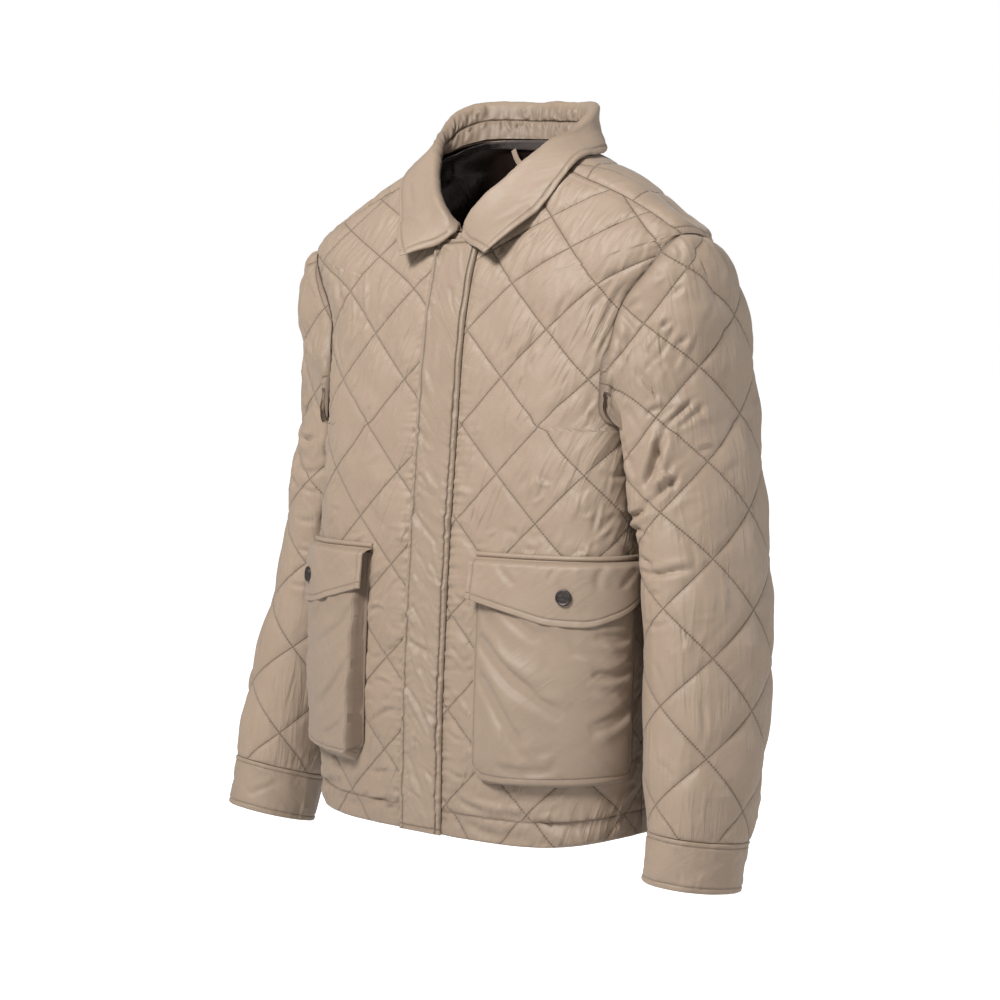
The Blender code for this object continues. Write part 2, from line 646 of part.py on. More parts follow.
# ---- pockets, flaps and snaps ---------------------------------------------
def pocket_stand(p, x, z):
    """How far the pocket's face stands off the front: x share of the width, z height."""
    up = np.clip((z - p["foot"]) / (p["top"] - p["foot"]), 0, 1)
    return (p["near"] + (p["far"] - p["near"]) * x) * (1 - 0.45 * up)


def pocket_grid(p, extra):
    """Face and gussets of a pocket: columns across, rows from the foot to the mouth."""
    xs = [0.0, 0.012, 0.22, 0.45, 0.68, 0.86, 0.985, 1.0]
    H = p["top"] - p["foot"]
    zs = [0.0, 0.012, 0.10, 0.30, 0.52, 0.76, 1.0]
    rows = []
    for zi, z in enumerate(zs):
        row = []
        for xi, x in enumerate(xs):
            corner = 0.030 * H * 0
            inset_z = 0.10 * H * max(0, 1 - x / 0.10, (x - 0.90) / 0.10) ** 1.7 if z < 0.1 else 0
            height = p["foot"] + z * H + inset_z * (1 - z / 0.1)
            t = float(level_at(height))
            th = angle_at(t, p["start"] + x * p["width"])
            rim = xi in (0, len(xs) - 1) or zi == 0
            off = WALL + POCKET_SEAT + (0 if rim else float(pocket_stand(p, x, height)))
            row.append(trunk_off(t, np.asarray(th), off + extra))
        rows.append(row)
    return np.array(rows)


def flap_off(p, x, z):
    """Inner side of the flap: flat on the panel at its strip, then over the pocket."""
    over = WALL + POCKET_SEAT + pocket_stand(p, np.clip(x, 0, 1), min(z, p["top"])) + POCKET_WALL + 0.0010
    rise = float(smooth((FLAP_TOP - FLAP_STRIP - z) / 0.0030))
    side = 0.0018 * float(smooth((x - 0.72) / 0.2))
    return WALL + POCKET_SEAT + side + (over - WALL - POCKET_SEAT) * rise


def flap_grid(p, extra):
    xs = [-0.018, 0.22, 0.45, 0.68, 0.86, 1.010]
    rows = []
    for k in (1.0, 0.70, 0.36, "over", "strip", "top"):
        row = []
        for x in xs:
            drop = float(pchip(FLAP_EDGE[:, 0], FLAP_EDGE[:, 1], x))
            z = {"top": FLAP_TOP, "strip": FLAP_TOP - FLAP_STRIP, "over": FLAP_TOP - FLAP_STRIP - 0.0030}.get(k) or FLAP_TOP - FLAP_STRIP - k * drop
            t = float(level_at(z))
            row.append(trunk_off(t, np.asarray(angle_at(t, p["start"] + x * p["width"])), flap_off(p, x, z) + extra))
        rows.append(row)
    return np.array(rows)


for side in ("left", "right"):
    p = POCKET[side]
    flip = side == "right"
    turn = mirrored if flip else (lambda g: g)
    wall("pocket_" + side, turn(pocket_grid(p, 0.0)), turn(pocket_grid(p, POCKET_WALL)), "cloth", flip=flip)
    wall("flap_" + side, turn(flap_grid(p, 0.0)), turn(flap_grid(p, FLAP_WALL)), "cloth", flip=flip)
    t = float(level_at(SNAP_Z))
    th = np.asarray(angle_at(t, p["start"] + SNAP_AT * p["width"]))
    seat = flap_off(p, SNAP_AT, SNAP_Z) + FLAP_WALL + 0.0008
    at, n = trunk_off(t, th, seat), trunk_normal(t, th)
    if flip:
        at, n = at * [-1, 1, 1], n * [-1, 1, 1]
    bpy.ops.mesh.primitive_cylinder_add(vertices=24, radius=SNAP_RADIUS, depth=SNAP_HEIGHT)
    snap = bpy.context.object
    snap.name = snap.data.name = "snap_" + side
    for c in list(snap.users_collection):
        c.objects.unlink(snap)
    pieces.objects.link(snap)
    snap.data.materials.append(material_for(snap.name, "snap"))
    turn_to = Vector(n).to_track_quat("Z", "Y")
    snap.matrix_world = Matrix.LocRotScale(Vector(at + n * (SNAP_HEIGHT / 2)), turn_to, None)
    bevel = snap.modifiers.new("rim", "BEVEL")
    bevel.width = 0.0007
    bevel.segments = 2
    bevel.limit_method = "ANGLE"
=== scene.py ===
import bpy
from mathutils import Matrix, Vector


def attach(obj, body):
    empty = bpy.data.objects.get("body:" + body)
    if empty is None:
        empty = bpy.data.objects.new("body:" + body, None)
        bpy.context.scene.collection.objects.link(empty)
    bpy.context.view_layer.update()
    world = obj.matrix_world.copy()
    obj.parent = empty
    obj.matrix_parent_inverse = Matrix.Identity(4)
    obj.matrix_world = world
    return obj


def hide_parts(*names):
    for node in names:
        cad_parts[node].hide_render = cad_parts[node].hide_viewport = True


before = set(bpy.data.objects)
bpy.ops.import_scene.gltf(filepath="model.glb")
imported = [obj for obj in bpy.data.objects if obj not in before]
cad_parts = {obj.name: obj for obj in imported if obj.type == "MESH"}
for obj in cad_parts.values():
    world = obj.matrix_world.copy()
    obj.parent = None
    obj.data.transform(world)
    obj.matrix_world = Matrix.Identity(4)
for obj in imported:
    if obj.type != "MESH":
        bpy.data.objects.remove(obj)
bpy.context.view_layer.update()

FINE = 1.0

import math
import numpy as np

# ---- sizes, metres -------------------------------------------------------
WALL = 0.0040          # quilted cloth: shell, wadding and backing together
GAP = 0.0003           # left between pieces at a seam

# Trunk, inner face, as level rings. level 0 is the hem and 1 the neck seam.
# level, z front, z side, z back, half width, front depth, back depth, front power, back power, z power front, z power back, side pinch
TRUNK = np.array([
    (0.00, -0.663, -0.653, -0.660, 0.193, 0.114, 0.122, 3.2, 2.4, 6.0, 2.5, 0.000),
    (0.15, -0.558, -0.553, -0.557, 0.203, 0.112, 0.122, 3.3, 2.4, 3.0, 2.5, 0.012),
    (0.35, -0.421, -0.420, -0.422, 0.210, 0.104, 0.120, 3.4, 2.4, 3.0, 2.5, 0.022),
    (0.58, -0.268, -0.268, -0.270, 0.206, 0.090, 0.118, 3.4, 2.4, 3.0, 2.5, 0.028),
    (0.72, -0.182, -0.172, -0.165, 0.207, 0.081, 0.114, 2.8, 2.4, 3.0, 2.5, 0.000),
    (0.85, -0.128, -0.086, -0.086, 0.241, 0.070, 0.098, 2.4, 2.3, 2.6, 3.0, 0.000),
    (0.93, -0.102, -0.034, -0.027, 0.160, 0.062, 0.083, 2.1, 2.1, 2.6, 3.0, 0.000),
    (1.00, -0.082, -0.004,  0.018, 0.082, 0.055, 0.066, 2.0, 2.0, 2.4, 2.4, 0.000),
])
TRUNK_COLUMNS = dict(zf=1, zs=2, zb=3, w=4, df=5, db=6, pf=7, pb=8, mf=9, mb=10, pinch=11)
PINCH_MIDDLE, PINCH_REACH = 0.012, 0.062


def pchip(xs, ys, x):
    """Monotone cubic through the table (xs, ys), read at x."""
    xs, ys, x = np.asarray(xs, float), np.asarray(ys, float), np.asarray(x, float)
    h = np.diff(xs)
    d = np.diff(ys) / h
    m = np.zeros_like(ys)
    m[0], m[-1] = d[0], d[-1]
    for i in range(1, len(xs) - 1):
        if d[i - 1] * d[i] > 0:
            w1, w2 = 2 * h[i] + h[i - 1], h[i] + 2 * h[i - 1]
            m[i] = (w1 + w2) / (w1 / d[i - 1] + w2 / d[i])
    i = np.clip(np.searchsorted(xs, x) - 1, 0, len(h) - 1)
    s = np.clip((x - xs[i]) / h[i], 0, 1)
    return ((2 * s**3 - 3 * s**2 + 1) * ys[i] + (s**3 - 2 * s**2 + s) * h[i] * m[i]
            + (-2 * s**3 + 3 * s**2) * ys[i + 1] + (s**3 - s**2) * h[i] * m[i + 1])


def unit(v):
    return v / np.maximum(np.linalg.norm(v, axis=-1, keepdims=True), 1e-12)


def trunk(t, th):
    """Inner face of the trunk at level t and polar angle th (0 wearer's left, -pi/2 front, pi/2 back)."""
    t, th = np.broadcast_arrays(np.asarray(t, float), np.asarray(th, float))
    g = {k: pchip(TRUNK[:, 0], TRUNK[:, i], t) for k, i in TRUNK_COLUMNS.items()}
    c, s = np.cos(th), np.sin(th)
    front = s < 0
    p = np.where(front, g["pf"], g["pb"])
    d = np.where(front, g["df"], g["db"])
    r = (np.abs(c / g["w"]) ** p + np.abs(s / d) ** p) ** (-1 / p)
    x, y = r * c, r * s
    k = np.minimum(np.abs(x) / g["w"], 1) ** np.where(front, g["mf"], g["mb"])
    z = g["zs"] * k + np.where(front, g["zf"], g["zb"]) * (1 - k)
    x = x - np.sign(x) * g["pinch"] * np.exp(-(((y - PINCH_MIDDLE) / PINCH_REACH) ** 2)) * np.clip(np.abs(x) / (0.6 * g["w"]), 0, 1) ** 2
    return np.stack([x, y, z], -1)


def trunk_normal(t, th):
    e = 1e-3
    du = trunk(t, th + e) - trunk(t, th - e)
    dv = trunk(np.minimum(t + e, 1), th) - trunk(np.maximum(t - e, 0), th)
    return unit(np.cross(du, dv))


def trunk_off(t, th, off):
    t, th = np.broadcast_arrays(np.asarray(t, float), np.asarray(th, float))
    return trunk(t, th) + np.asarray(off)[..., None] * trunk_normal(t, th)


def smooth(x):
    x = np.clip(x, 0, 1)
    return x * x * (3 - 2 * x)


def level_at(z):
    """Level whose front is at height z."""
    t = np.linspace(0, 1, 801)
    return np.interp(z, pchip(TRUNK[:, 0], TRUNK[:, 1], t), t)


RING_ANGLES = np.radians(np.linspace(-90, 90, 721))


def ring_arcs(t):
    """Arc length from the centre front to each of RING_ANGLES along the half ring at level t."""
    P = trunk(t, RING_ANGLES)
    return np.concatenate([[0], np.cumsum(np.linalg.norm(np.diff(P, axis=0), axis=1))])


def angle_at(t, a):
    """Polar angle at arc length a from the centre front, at level t."""
    return np.interp(a, ring_arcs(t), RING_ANGLES)


def arc_at(t, th):
    return np.interp(th, RING_ANGLES, ring_arcs(t))


# ---- seams on the trunk --------------------------------------------------
LEVEL_ARM, LEVEL_SHOULDER = 0.575, 0.848      # underarm, shoulder point
SIDE_ANGLE = math.radians(-6)                  # side seam
# way round the armhole (0 underarm, 1 shoulder), front angle, back angle, degrees
ARMHOLE = np.array([
    (0.00, -6.0, -6.0),
    (0.10, -14.0, 3.0),
    (0.22, -18.0, 10.0),
    (0.38, -17.5, 15.5),
    (0.51, -15.5, 17.0),
    (0.63, -13.3, 16.0),
    (0.74, -10.2, 12.5),
    (0.82, -8.3, 8.5),
    (0.91, -6.0, 2.0),
    (1.00, -4.4, -4.4),
])
# level, angle of the shoulder seam
SHOULDER = np.array([
    (0.848, -4.4),
    (0.866, -6.2),
    (0.914, -7.4),
    (0.955, -9.6),
    (1.000, -12.0),
])


def arm_level(u):
    return LEVEL_ARM + (LEVEL_SHOULDER - LEVEL_ARM) * (1 - np.cos(np.pi * u)) / 2


def arm_way(t):
    f = np.clip((t - LEVEL_ARM) / (LEVEL_SHOULDER - LEVEL_ARM), 0, 1)
    return np.arccos(1 - 2 * f) / np.pi


def edge_angle(t, back):
    """Angle of a front or back panel's side edge at level t: side seam, armhole, shoulder seam."""
    if t <= LEVEL_ARM:
        return SIDE_ANGLE
    if t < LEVEL_SHOULDER:
        return math.radians(float(pchip(ARMHOLE[:, 0], ARMHOLE[:, 2 if back else 1], arm_way(t))))
    return math.radians(float(pchip(SHOULDER[:, 0], SHOULDER[:, 1], t)))


# ---- sleeves -------------------------------------------------------------
# z, centre x, centre y, half width x, half depth y, rise outward, rise forward
SLEEVE = {
    "left": np.array([
        (-0.290, 0.211, 0.024, 0.060, 0.076, 0.45, 0.00),
        (-0.360, 0.233, 0.016, 0.054, 0.070, 0.15, 0.00),
        (-0.430, 0.247, 0.011, 0.051, 0.068, 0.02, 0.02),
        (-0.515, 0.256, 0.000, 0.050, 0.064, 0.00, 0.05),
        (-0.590, 0.262, -0.014, 0.047, 0.057, -0.03, 0.09),
        (-0.643, 0.266, -0.024, 0.041, 0.049, -0.05, 0.12),
        (-0.690, 0.262, -0.030, 0.040, 0.046, -0.05, 0.12),
    ]),
    "right": np.array([
        (-0.290, 0.211, 0.024, 0.060, 0.076, 0.45, 0.00),
        (-0.360, 0.232, 0.015, 0.051, 0.069, 0.15, 0.00),
        (-0.430, 0.245, 0.009, 0.047, 0.066, 0.03, 0.04),
        (-0.515, 0.263, -0.009, 0.048, 0.062, 0.05, 0.12),
        (-0.590, 0.274, -0.029, 0.043, 0.054, 0.09, 0.20),
        (-0.640, 0.281, -0.042, 0.040, 0.048, 0.11, 0.25),
        (-0.690, 0.285, -0.054, 0.038, 0.045, 0.11, 0.25),
    ]),
}
CUFF_TOP = {"left": -0.643, "right": -0.640}
CUFF_END = -0.690
# round the armhole, degrees: turn of the sleeve away from the trunk's surface, handle at the seam and at the first free ring in spans
CAP = np.array([
    (-90, 165, 0.55, 0.95),
    (-60, 155, 0.55, 0.95),
    (-25, 80, 0.60, 0.95),
    (10, 35, 0.75, 0.95),
    (50, 55, 0.75, 0.95),
    (90, 76, 0.66, 0.90),
    (130, 78, 0.68, 0.90),
    (170, 60, 0.66, 0.95),
    (205, 80, 0.60, 0.95),
    (240, 155, 0.55, 0.95),
    (270, 165, 0.55, 0.95),
])
SIGN = {"left": 1.0, "right": -1.0}


def arm_loop(al):
    """Armhole point, trunk normal and in-surface direction into the hole, for the wearer's left. al: -90 deg underarm, 0 front, 90 shoulder, 180 back."""
    def at(al):
        d = (np.degrees(al) + 90) % 360
        back = d > 180
        u = np.where(back, (360 - d) / 180, d / 180)
        th = np.radians(np.where(back, pchip(ARMHOLE[:, 0], ARMHOLE[:, 2], u), pchip(ARMHOLE[:, 0], ARMHOLE[:, 1], u)))
        return arm_level(u), th
    t, th = at(al)
    P, n = trunk(t, th), trunk_normal(t, th)
    e = math.radians(4)
    tau = unit(trunk(*at(al + e)) - trunk(*at(al - e)))
    into = unit(np.cross(n, tau))
    tc, thc = np.asarray(0.71), np.asarray(0.0)
    middle = trunk(tc, thc)
    into = into * np.sign(np.sum(into * (middle - P), -1, keepdims=True))
    return P, n, into


def sleeve_ring(side, z, al):
    """Free ring of the sleeve's inner face round height z."""
    g = [pchip(-SLEEVE[side][:, 0], SLEEVE[side][:, i], -np.asarray(z, float)) for i in range(1, 7)]
    cx, cy, rx, ry, tx, ty = g
    dx, dy = rx * np.sin(al), -ry * np.cos(al)
    return np.stack([cx + dx, cy + dy, z + tx * dx - ty * dy], -1)


_side_lines = {}


def trunk_side(y, z):
    """Half width of the trunk's inner face at depth y and height z."""
    y, z = np.broadcast_arrays(np.asarray(y, float), np.asarray(z, float))
    if not _side_lines:
        ts = np.linspace(0, 0.85, 86)
        ys = np.linspace(-0.13, 0.13, 131)
        th = np.radians(np.linspace(-88, 88, 353))
        X = []
        Z = []
        for t in ts:
            P = trunk(t, th)
            X.append(np.interp(ys, P[:, 1], P[:, 0]))
            Z.append(np.interp(ys, P[:, 1], P[:, 2]))
        _side_lines.update(y=ys, X=np.array(X), Z=np.array(Z))
    s = _side_lines
    f = np.clip((y - s["y"][0]) / (s["y"][1] - s["y"][0]), 0, len(s["y"]) - 1.001)
    j = f.astype(int)
    f = f - j
    out = np.zeros(y.shape)
    for col in np.unique(j):
        m = j == col
        out[m] = ((1 - f[m]) * np.interp(z[m], s["Z"][:, col], s["X"][:, col])
                  + f[m] * np.interp(z[m], s["Z"][:, col + 1], s["X"][:, col + 1]))
    return out


SLEEVE_CLEAR = 2 * WALL + 0.0032      # sleeve's inner face to trunk's inner face, where the two lie together
POCKET_ROOM = 0.0100                   # more of it beside the pockets
CAP_Z = -0.290
UNDERARM_ROOM = 0.0020                 # more of the seam's gap where the sleeve turns back


def cap_at(column, al):
    return pchip(CAP[:, 0], CAP[:, column], (np.degrees(al) + 90) % 360 - 90)


def sleeve_start(al, gap=GAP):
    """At the armhole: start of the sleeve's inner face, its direction and its outward normal."""
    al = np.asarray(al, float)
    A, n, into = arm_loop(al)
    b = np.radians(cap_at(1, al))[..., None]
    T, N = 0, 0
    for turn, share in ((-0.44, 1), (-0.22, 2), (0.0, 3), (0.22, 2), (0.44, 1)):      # evens out the corner at the shoulder
        _, n2, into2 = arm_loop(al + turn)
        b2 = np.radians(cap_at(1, al + turn))[..., None]
        T = T + share * (np.cos(b2) * into2 + np.sin(b2) * n2)
        N = N + share * (-np.sin(b2) * into2 + np.cos(b2) * n2)
    T = unit(T)
    N = unit(N - T * np.sum(N * T, -1, keepdims=True))
    O = A + n * (WALL + (gap + UNDERARM_ROOM) * np.sin(b / 2)) + into * (gap * np.cos(b / 2))
    return O - WALL * N, T, N


def sleeve(side, v, al):
    """Inner face of a sleeve. v: 0 armhole .. 1 first free ring, then 1 + depth below it in metres * 10. Wearer's left, mirrored for the right."""
    v, al = np.broadcast_arrays(np.asarray(v, float), np.asarray(al, float))
    P0, T0, N0 = sleeve_start(al)
    R = sleeve_ring(side, CAP_Z + 0 * al, al)
    R2 = sleeve_ring(side, CAP_Z - 0.02 + 0 * al, al)
    T1 = unit(R2 - R)
    span = np.linalg.norm(R - P0, axis=-1, keepdims=True)
    L0 = span * cap_at(2, al)[..., None]
    L1 = span * cap_at(3, al)[..., None]
    s = np.clip(v, 0, 1)[..., None]
    H = ((2 * s**3 - 3 * s**2 + 1) * P0 + (s**3 - 2 * s**2 + s) * T0 * L0 + (-2 * s**3 + 3 * s**2) * R + (s**3 - s**2) * T1 * L1)
    low = sleeve_ring(side, CAP_Z - np.maximum(v - 1, 0) / 10, al)
    P = np.where((v <= 1)[..., None], H, low)
    # the inner side keeps clear of the trunk's side
    x, y, z = P[..., 0], P[..., 1], P[..., 2]
    weight = smooth((-0.226 - z) / 0.03) * smooth((-np.sin(al) + 0.75) / 0.5) * smooth(v / 0.12)
    need = trunk_side(y, z) + SLEEVE_CLEAR + POCKET_ROOM * smooth((-0.010 - y) / 0.02) * smooth((-0.345 - z) / 0.025) * smooth((z + 0.640) / 0.025)
    short = need - x
    push = (short + np.sqrt(short**2 + 0.005**2)) / 2 * weight
    P = P.copy()
    P[..., 0] = x + push
    return P


def sleeve_normal(side, v, al):
    e = 2e-3
    dv = sleeve(side, v + e, al) - sleeve(side, np.maximum(v - e, 0), al)
    da = sleeve(side, v, al + 0.01) - sleeve(side, v, al - 0.01)
    return unit(np.cross(dv, da))


# ---- the trunk's rings as tables, to read many points at once -------------------
LEVELS = np.linspace(0, 1, 401)
ARC_STEP, ARC_COUNT = 0.001, 640
_rings = trunk(LEVELS[:, None], RING_ANGLES[None, :])
RING_ARCS = np.concatenate([np.zeros((401, 1)), np.cumsum(np.linalg.norm(np.diff(_rings, axis=1), axis=2), axis=1)], axis=1)
RING_THETA = np.array([np.interp(np.arange(ARC_COUNT) * ARC_STEP, row, RING_ANGLES) for row in RING_ARCS])


def _read(table, t, column):
    t, column = np.broadcast_arrays(np.asarray(t, float), np.asarray(column, float))
    f = np.clip(t, 0, 1) * (len(LEVELS) - 1)
    i = np.minimum(f.astype(int), len(LEVELS) - 2)
    f = f - i
    g = np.clip(column, 0, table.shape[1] - 1.001)
    k = g.astype(int)
    g = g - k
    return (1 - f) * ((1 - g) * table[i, k] + g * table[i, k + 1]) + f * ((1 - g) * table[i + 1, k] + g * table[i + 1, k + 1])


def theta(t, a):
    """Angle at arc a from the centre front at level t."""
    return _read(RING_THETA, t, np.asarray(a) / ARC_STEP)


def arc(t, th):
    """Arc from the centre front to angle th at level t."""
    return _read(RING_ARCS, t, (np.asarray(th) - RING_ANGLES[0]) / (RING_ANGLES[1] - RING_ANGLES[0]))


def level_of(z):
    t = np.linspace(0, 1, 1601)
    return np.interp(z, pchip(TRUNK[:, 0], TRUNK[:, 1], t), t)


def lines(length, step, start=False, end=False, marks=()):
    """Places along a length: step apart, closer at an end named, and close round each mark, which is a stitch line."""
    close = [0.0, 0.0004, 0.0010, 0.0018, 0.0029]
    pts = [0.0, length]
    if start:
        pts += close
    if end:
        pts += [length - c for c in close]
    for m in marks:
        pts += [m - 0.0016, m - 0.0008, m, m + 0.0008, m + 0.0016]
    pts = sorted(p for p in pts if 0 <= p <= length)
    out = [pts[0]]
    for p in pts[1:]:
        gap = p - out[-1]
        if gap < 0.00025 * FINE:
            if p == length:
                out[-1] = p
            continue
        n = max(1, int(math.ceil(gap / (step * FINE) - 0.3)))
        out += [out[-1] + gap * (k + 1) / n for k in range(n)]
    return np.array(out)


# ---- flattening ------------------------------------------------------------------
def flatten(P, X, Y, pinned, rounds=30, hold=1e-4):
    """Lays a grid of points out flat with as little stretch as can be. X, Y is the first guess, which pinned points keep."""
    R, C = P.shape[:2]
    idx = np.arange(R * C).reshape(R, C)
    a, b, c, d = idx[:-1, :-1].ravel(), idx[:-1, 1:].ravel(), idx[1:, 1:].ravel(), idx[1:, :-1].ravel()
    tri = np.concatenate([np.stack([a, b, c], 1), np.stack([a, c, d], 1), np.stack([a, b, d], 1), np.stack([b, c, d], 1)])
    V = P.reshape(-1, 3)
    U = np.stack([X.ravel(), Y.ravel()], 1)
    e1, e2 = V[tri[:, 1]] - V[tri[:, 0]], V[tri[:, 2]] - V[tri[:, 0]]
    l1 = np.maximum(np.linalg.norm(e1, axis=1), 1e-9)
    x2 = np.sum(e1 * e2, 1) / l1
    y2 = np.linalg.norm(np.cross(e1, e2), axis=1) / l1
    g1, g2 = U[tri[:, 1]] - U[tri[:, 0]], U[tri[:, 2]] - U[tri[:, 0]]
    turn = np.sign(np.sum(g1[:, 0] * g2[:, 1] - g1[:, 1] * g2[:, 0]))
    zero = np.zeros(len(tri))
    T = np.stack([np.stack([zero, zero], 1), np.stack([l1, zero], 1), np.stack([x2, y2 * turn], 1)], 1)
    pairs, cots, rests = [], [], []
    for k in range(3):
        i, j, o = k, (k + 1) % 3, (k + 2) % 3
        ea, eb = T[:, i] - T[:, o], T[:, j] - T[:, o]
        cot = np.sum(ea * eb, 1) / np.maximum(np.abs(ea[:, 0] * eb[:, 1] - ea[:, 1] * eb[:, 0]), 1e-12)
        cots.append(np.clip(cot, 0.02, 20))
        pairs.append((tri[:, i], tri[:, j]))
        rests.append(T[:, i] - T[:, j])
    n = len(V)
    L = np.zeros((n, n))
    for (i, j), w in zip(pairs, cots):
        np.add.at(L, (i, j), -w)
        np.add.at(L, (j, i), -w)
        np.add.at(L, (i, i), w)
        np.add.at(L, (j, j), w)
    L[np.arange(n), np.arange(n)] += hold
    free = ~pinned.ravel()
    guess = U.copy()
    inv = np.linalg.inv(L[np.ix_(free, free)])
    tie = L[np.ix_(free, ~free)]
    for _ in range(rounds):
        S = np.zeros((len(tri), 2, 2))
        for (i, j), w, r in zip(pairs, cots, rests):
            S += w[:, None, None] * (U[i] - U[j])[:, :, None] * r[:, None, :]
        ang = np.arctan2(S[:, 1, 0] - S[:, 0, 1], S[:, 0, 0] + S[:, 1, 1])
        co, si = np.cos(ang), np.sin(ang)
        rhs = hold * guess
        for (i, j), w, r in zip(pairs, cots, rests):
            m = np.stack([co * r[:, 0] - si * r[:, 1], si * r[:, 0] + co * r[:, 1]], 1) * w[:, None]
            np.add.at(rhs, i, m)
            np.add.at(rhs, j, -m)
        U[free] = inv @ (rhs[free] - tie @ U[~free])
    return U[:, 0].reshape(R, C), U[:, 1].reshape(R, C)


def spread_grid(coarse, rows, cols, R, C):
    """Values known at some rows and columns of a grid, filled in between."""
    along = np.empty((len(rows), C))
    j = np.arange(C)
    for k in range(len(rows)):
        along[k] = pchip_free(cols, coarse[k], j)
    out = np.empty((R, C))
    i = np.arange(R)
    k = np.clip(np.searchsorted(rows, i, side="right") - 1, 0, len(rows) - 2)
    f = (i - rows[k]) / (rows[k + 1] - rows[k])
    m = np.gradient(along, rows, axis=0)
    h = (rows[k + 1] - rows[k])[:, None]
    f = f[:, None]
    out = ((2 * f**3 - 3 * f**2 + 1) * along[k] + (f**3 - 2 * f**2 + f) * h * m[k]
           + (-2 * f**3 + 3 * f**2) * along[k + 1] + (f**3 - f**2) * h * m[k + 1])
    return out


def pchip_free(xs, ys, x):
    """Cubic through the table with slopes from its neighbours."""
    xs = np.asarray(xs, float)
    m = np.gradient(ys, xs)
    k = np.clip(np.searchsorted(xs, x, side="right") - 1, 0, len(xs) - 2)
    h = xs[k + 1] - xs[k]
    s = (x - xs[k]) / h
    return ((2 * s**3 - 3 * s**2 + 1) * ys[k] + (s**3 - 2 * s**2 + s) * h * m[k]
            + (-2 * s**3 + 3 * s**2) * ys[k + 1] + (s**3 - s**2) * h * m[k + 1])


def some(n, step):
    """About every step-th index of n, both ends included."""
    return np.unique(np.round(np.linspace(0, n - 1, max(2, int(round((n - 1) / step)) + 1))).astype(int))


# ---- panels of the trunk ---------------------------------------------------------
PLACKET_HALF = 0.027
LOW_LENGTH, ARM_LENGTH, TOP_LENGTH = 0.395, 0.205, 0.145
HEM_LINE = 0.024


def panel_rows(step, hem_marks=()):
    """Levels of fine rows: at the centre and at the side edge."""
    low = lines(LOW_LENGTH, step, start=True, marks=hem_marks) / LOW_LENGTH * LEVEL_ARM
    arm = lines(ARM_LENGTH, step) / ARM_LENGTH
    top = lines(TOP_LENGTH, step) / TOP_LENGTH
    middle = np.concatenate([low, LEVEL_ARM + (LEVEL_SHOULDER - LEVEL_ARM) * arm[1:], LEVEL_SHOULDER + (1 - LEVEL_SHOULDER) * top[1:]])
    side = np.concatenate([low, arm_level(arm[1:]), LEVEL_SHOULDER + (1 - LEVEL_SHOULDER) * top[1:]])
    return middle, side


def front_panel(step):
    """Fine left front: levels, angles, arcs."""
    middle, side = panel_rows(step, (HEM_LINE,))
    ends = np.array([edge_angle(t, False) for t in side])
    inside = lines(PLACKET_HALF - GAP / 2, 0.0028)[:-1]
    share = lines(0.21, step) / 0.21
    t = middle[:, None] + (side - middle)[:, None] * smooth(share)[None, :]
    a = PLACKET_HALF + share[None, :] * (arc(t, ends[:, None]) - GAP / 2 - PLACKET_HALF)
    t = np.concatenate([np.repeat(middle[:, None], len(inside), 1), t], axis=1)
    a = np.concatenate([np.repeat((GAP / 2 + inside)[None, :], len(middle), 0), a], axis=1)
    th = theta(t, a)
    P, N = trunk(t, th), trunk_normal(t, th)
    edge = arc(t, ends[:, None]) - a          # to the side edge
    return dict(t=t, th=th, a=a, P=P, N=N, edge=edge)


def back_panel(step):
    """Fine back, both halves: X is measured from the centre back, + to the wearer's left."""
    middle, side = panel_rows(step, (HEM_LINE,))
    ends = np.array([edge_angle(t, True) for t in side])
    share = lines(0.27, step) / 0.27
    t = middle[:, None] + (side - middle)[:, None] * smooth(share)[None, :]
    whole = arc(t, np.pi / 2)
    a = whole - share[None, :] * (whole - arc(t, ends[:, None]) - GAP / 2)
    th = theta(t, a)
    P, N = trunk(t, th), trunk_normal(t, th)
    edge = a - arc(t, ends[:, None])
    return dict(t=t, th=th, a=whole - a, P=P, N=N, edge=edge)


def lay_out(g, keep, level=0.46):
    """Cloth coordinates of a panel: arc and height on its lower part, flattened above."""
    P = g["P"]
    R, C = P.shape[:2]
    rows, cols = some(R, keep), some(C, keep)
    sub = np.ix_(rows, cols)
    X, Y = g["a"][sub], P[..., 2][sub]
    up = np.linalg.norm(np.diff(P[sub], axis=0), axis=2)
    low = g["t"][sub] <= level
    guess = Y.copy()
    for i in range(1, len(rows)):
        guess[i] = np.where(low[i], Y[i], guess[i - 1] + up[i - 1])
    Xf, Yf = flatten(P[sub], X, guess, low)
    return spread_grid(Xf, rows, cols, R, C), spread_grid(Yf, rows, cols, R, C)


def grid_normals(P, tube=False):
    """Normals of a grid of points, along columns x rows."""
    if tube:
        wide = np.concatenate([P[:, -1:], P, P[:, :1]], axis=1)
        dc = (wide[:, 2:] - wide[:, :-2])
    else:
        dc = np.gradient(P, axis=1)
    dr = np.gradient(P, axis=0)
    return unit(np.cross(dc, dr))


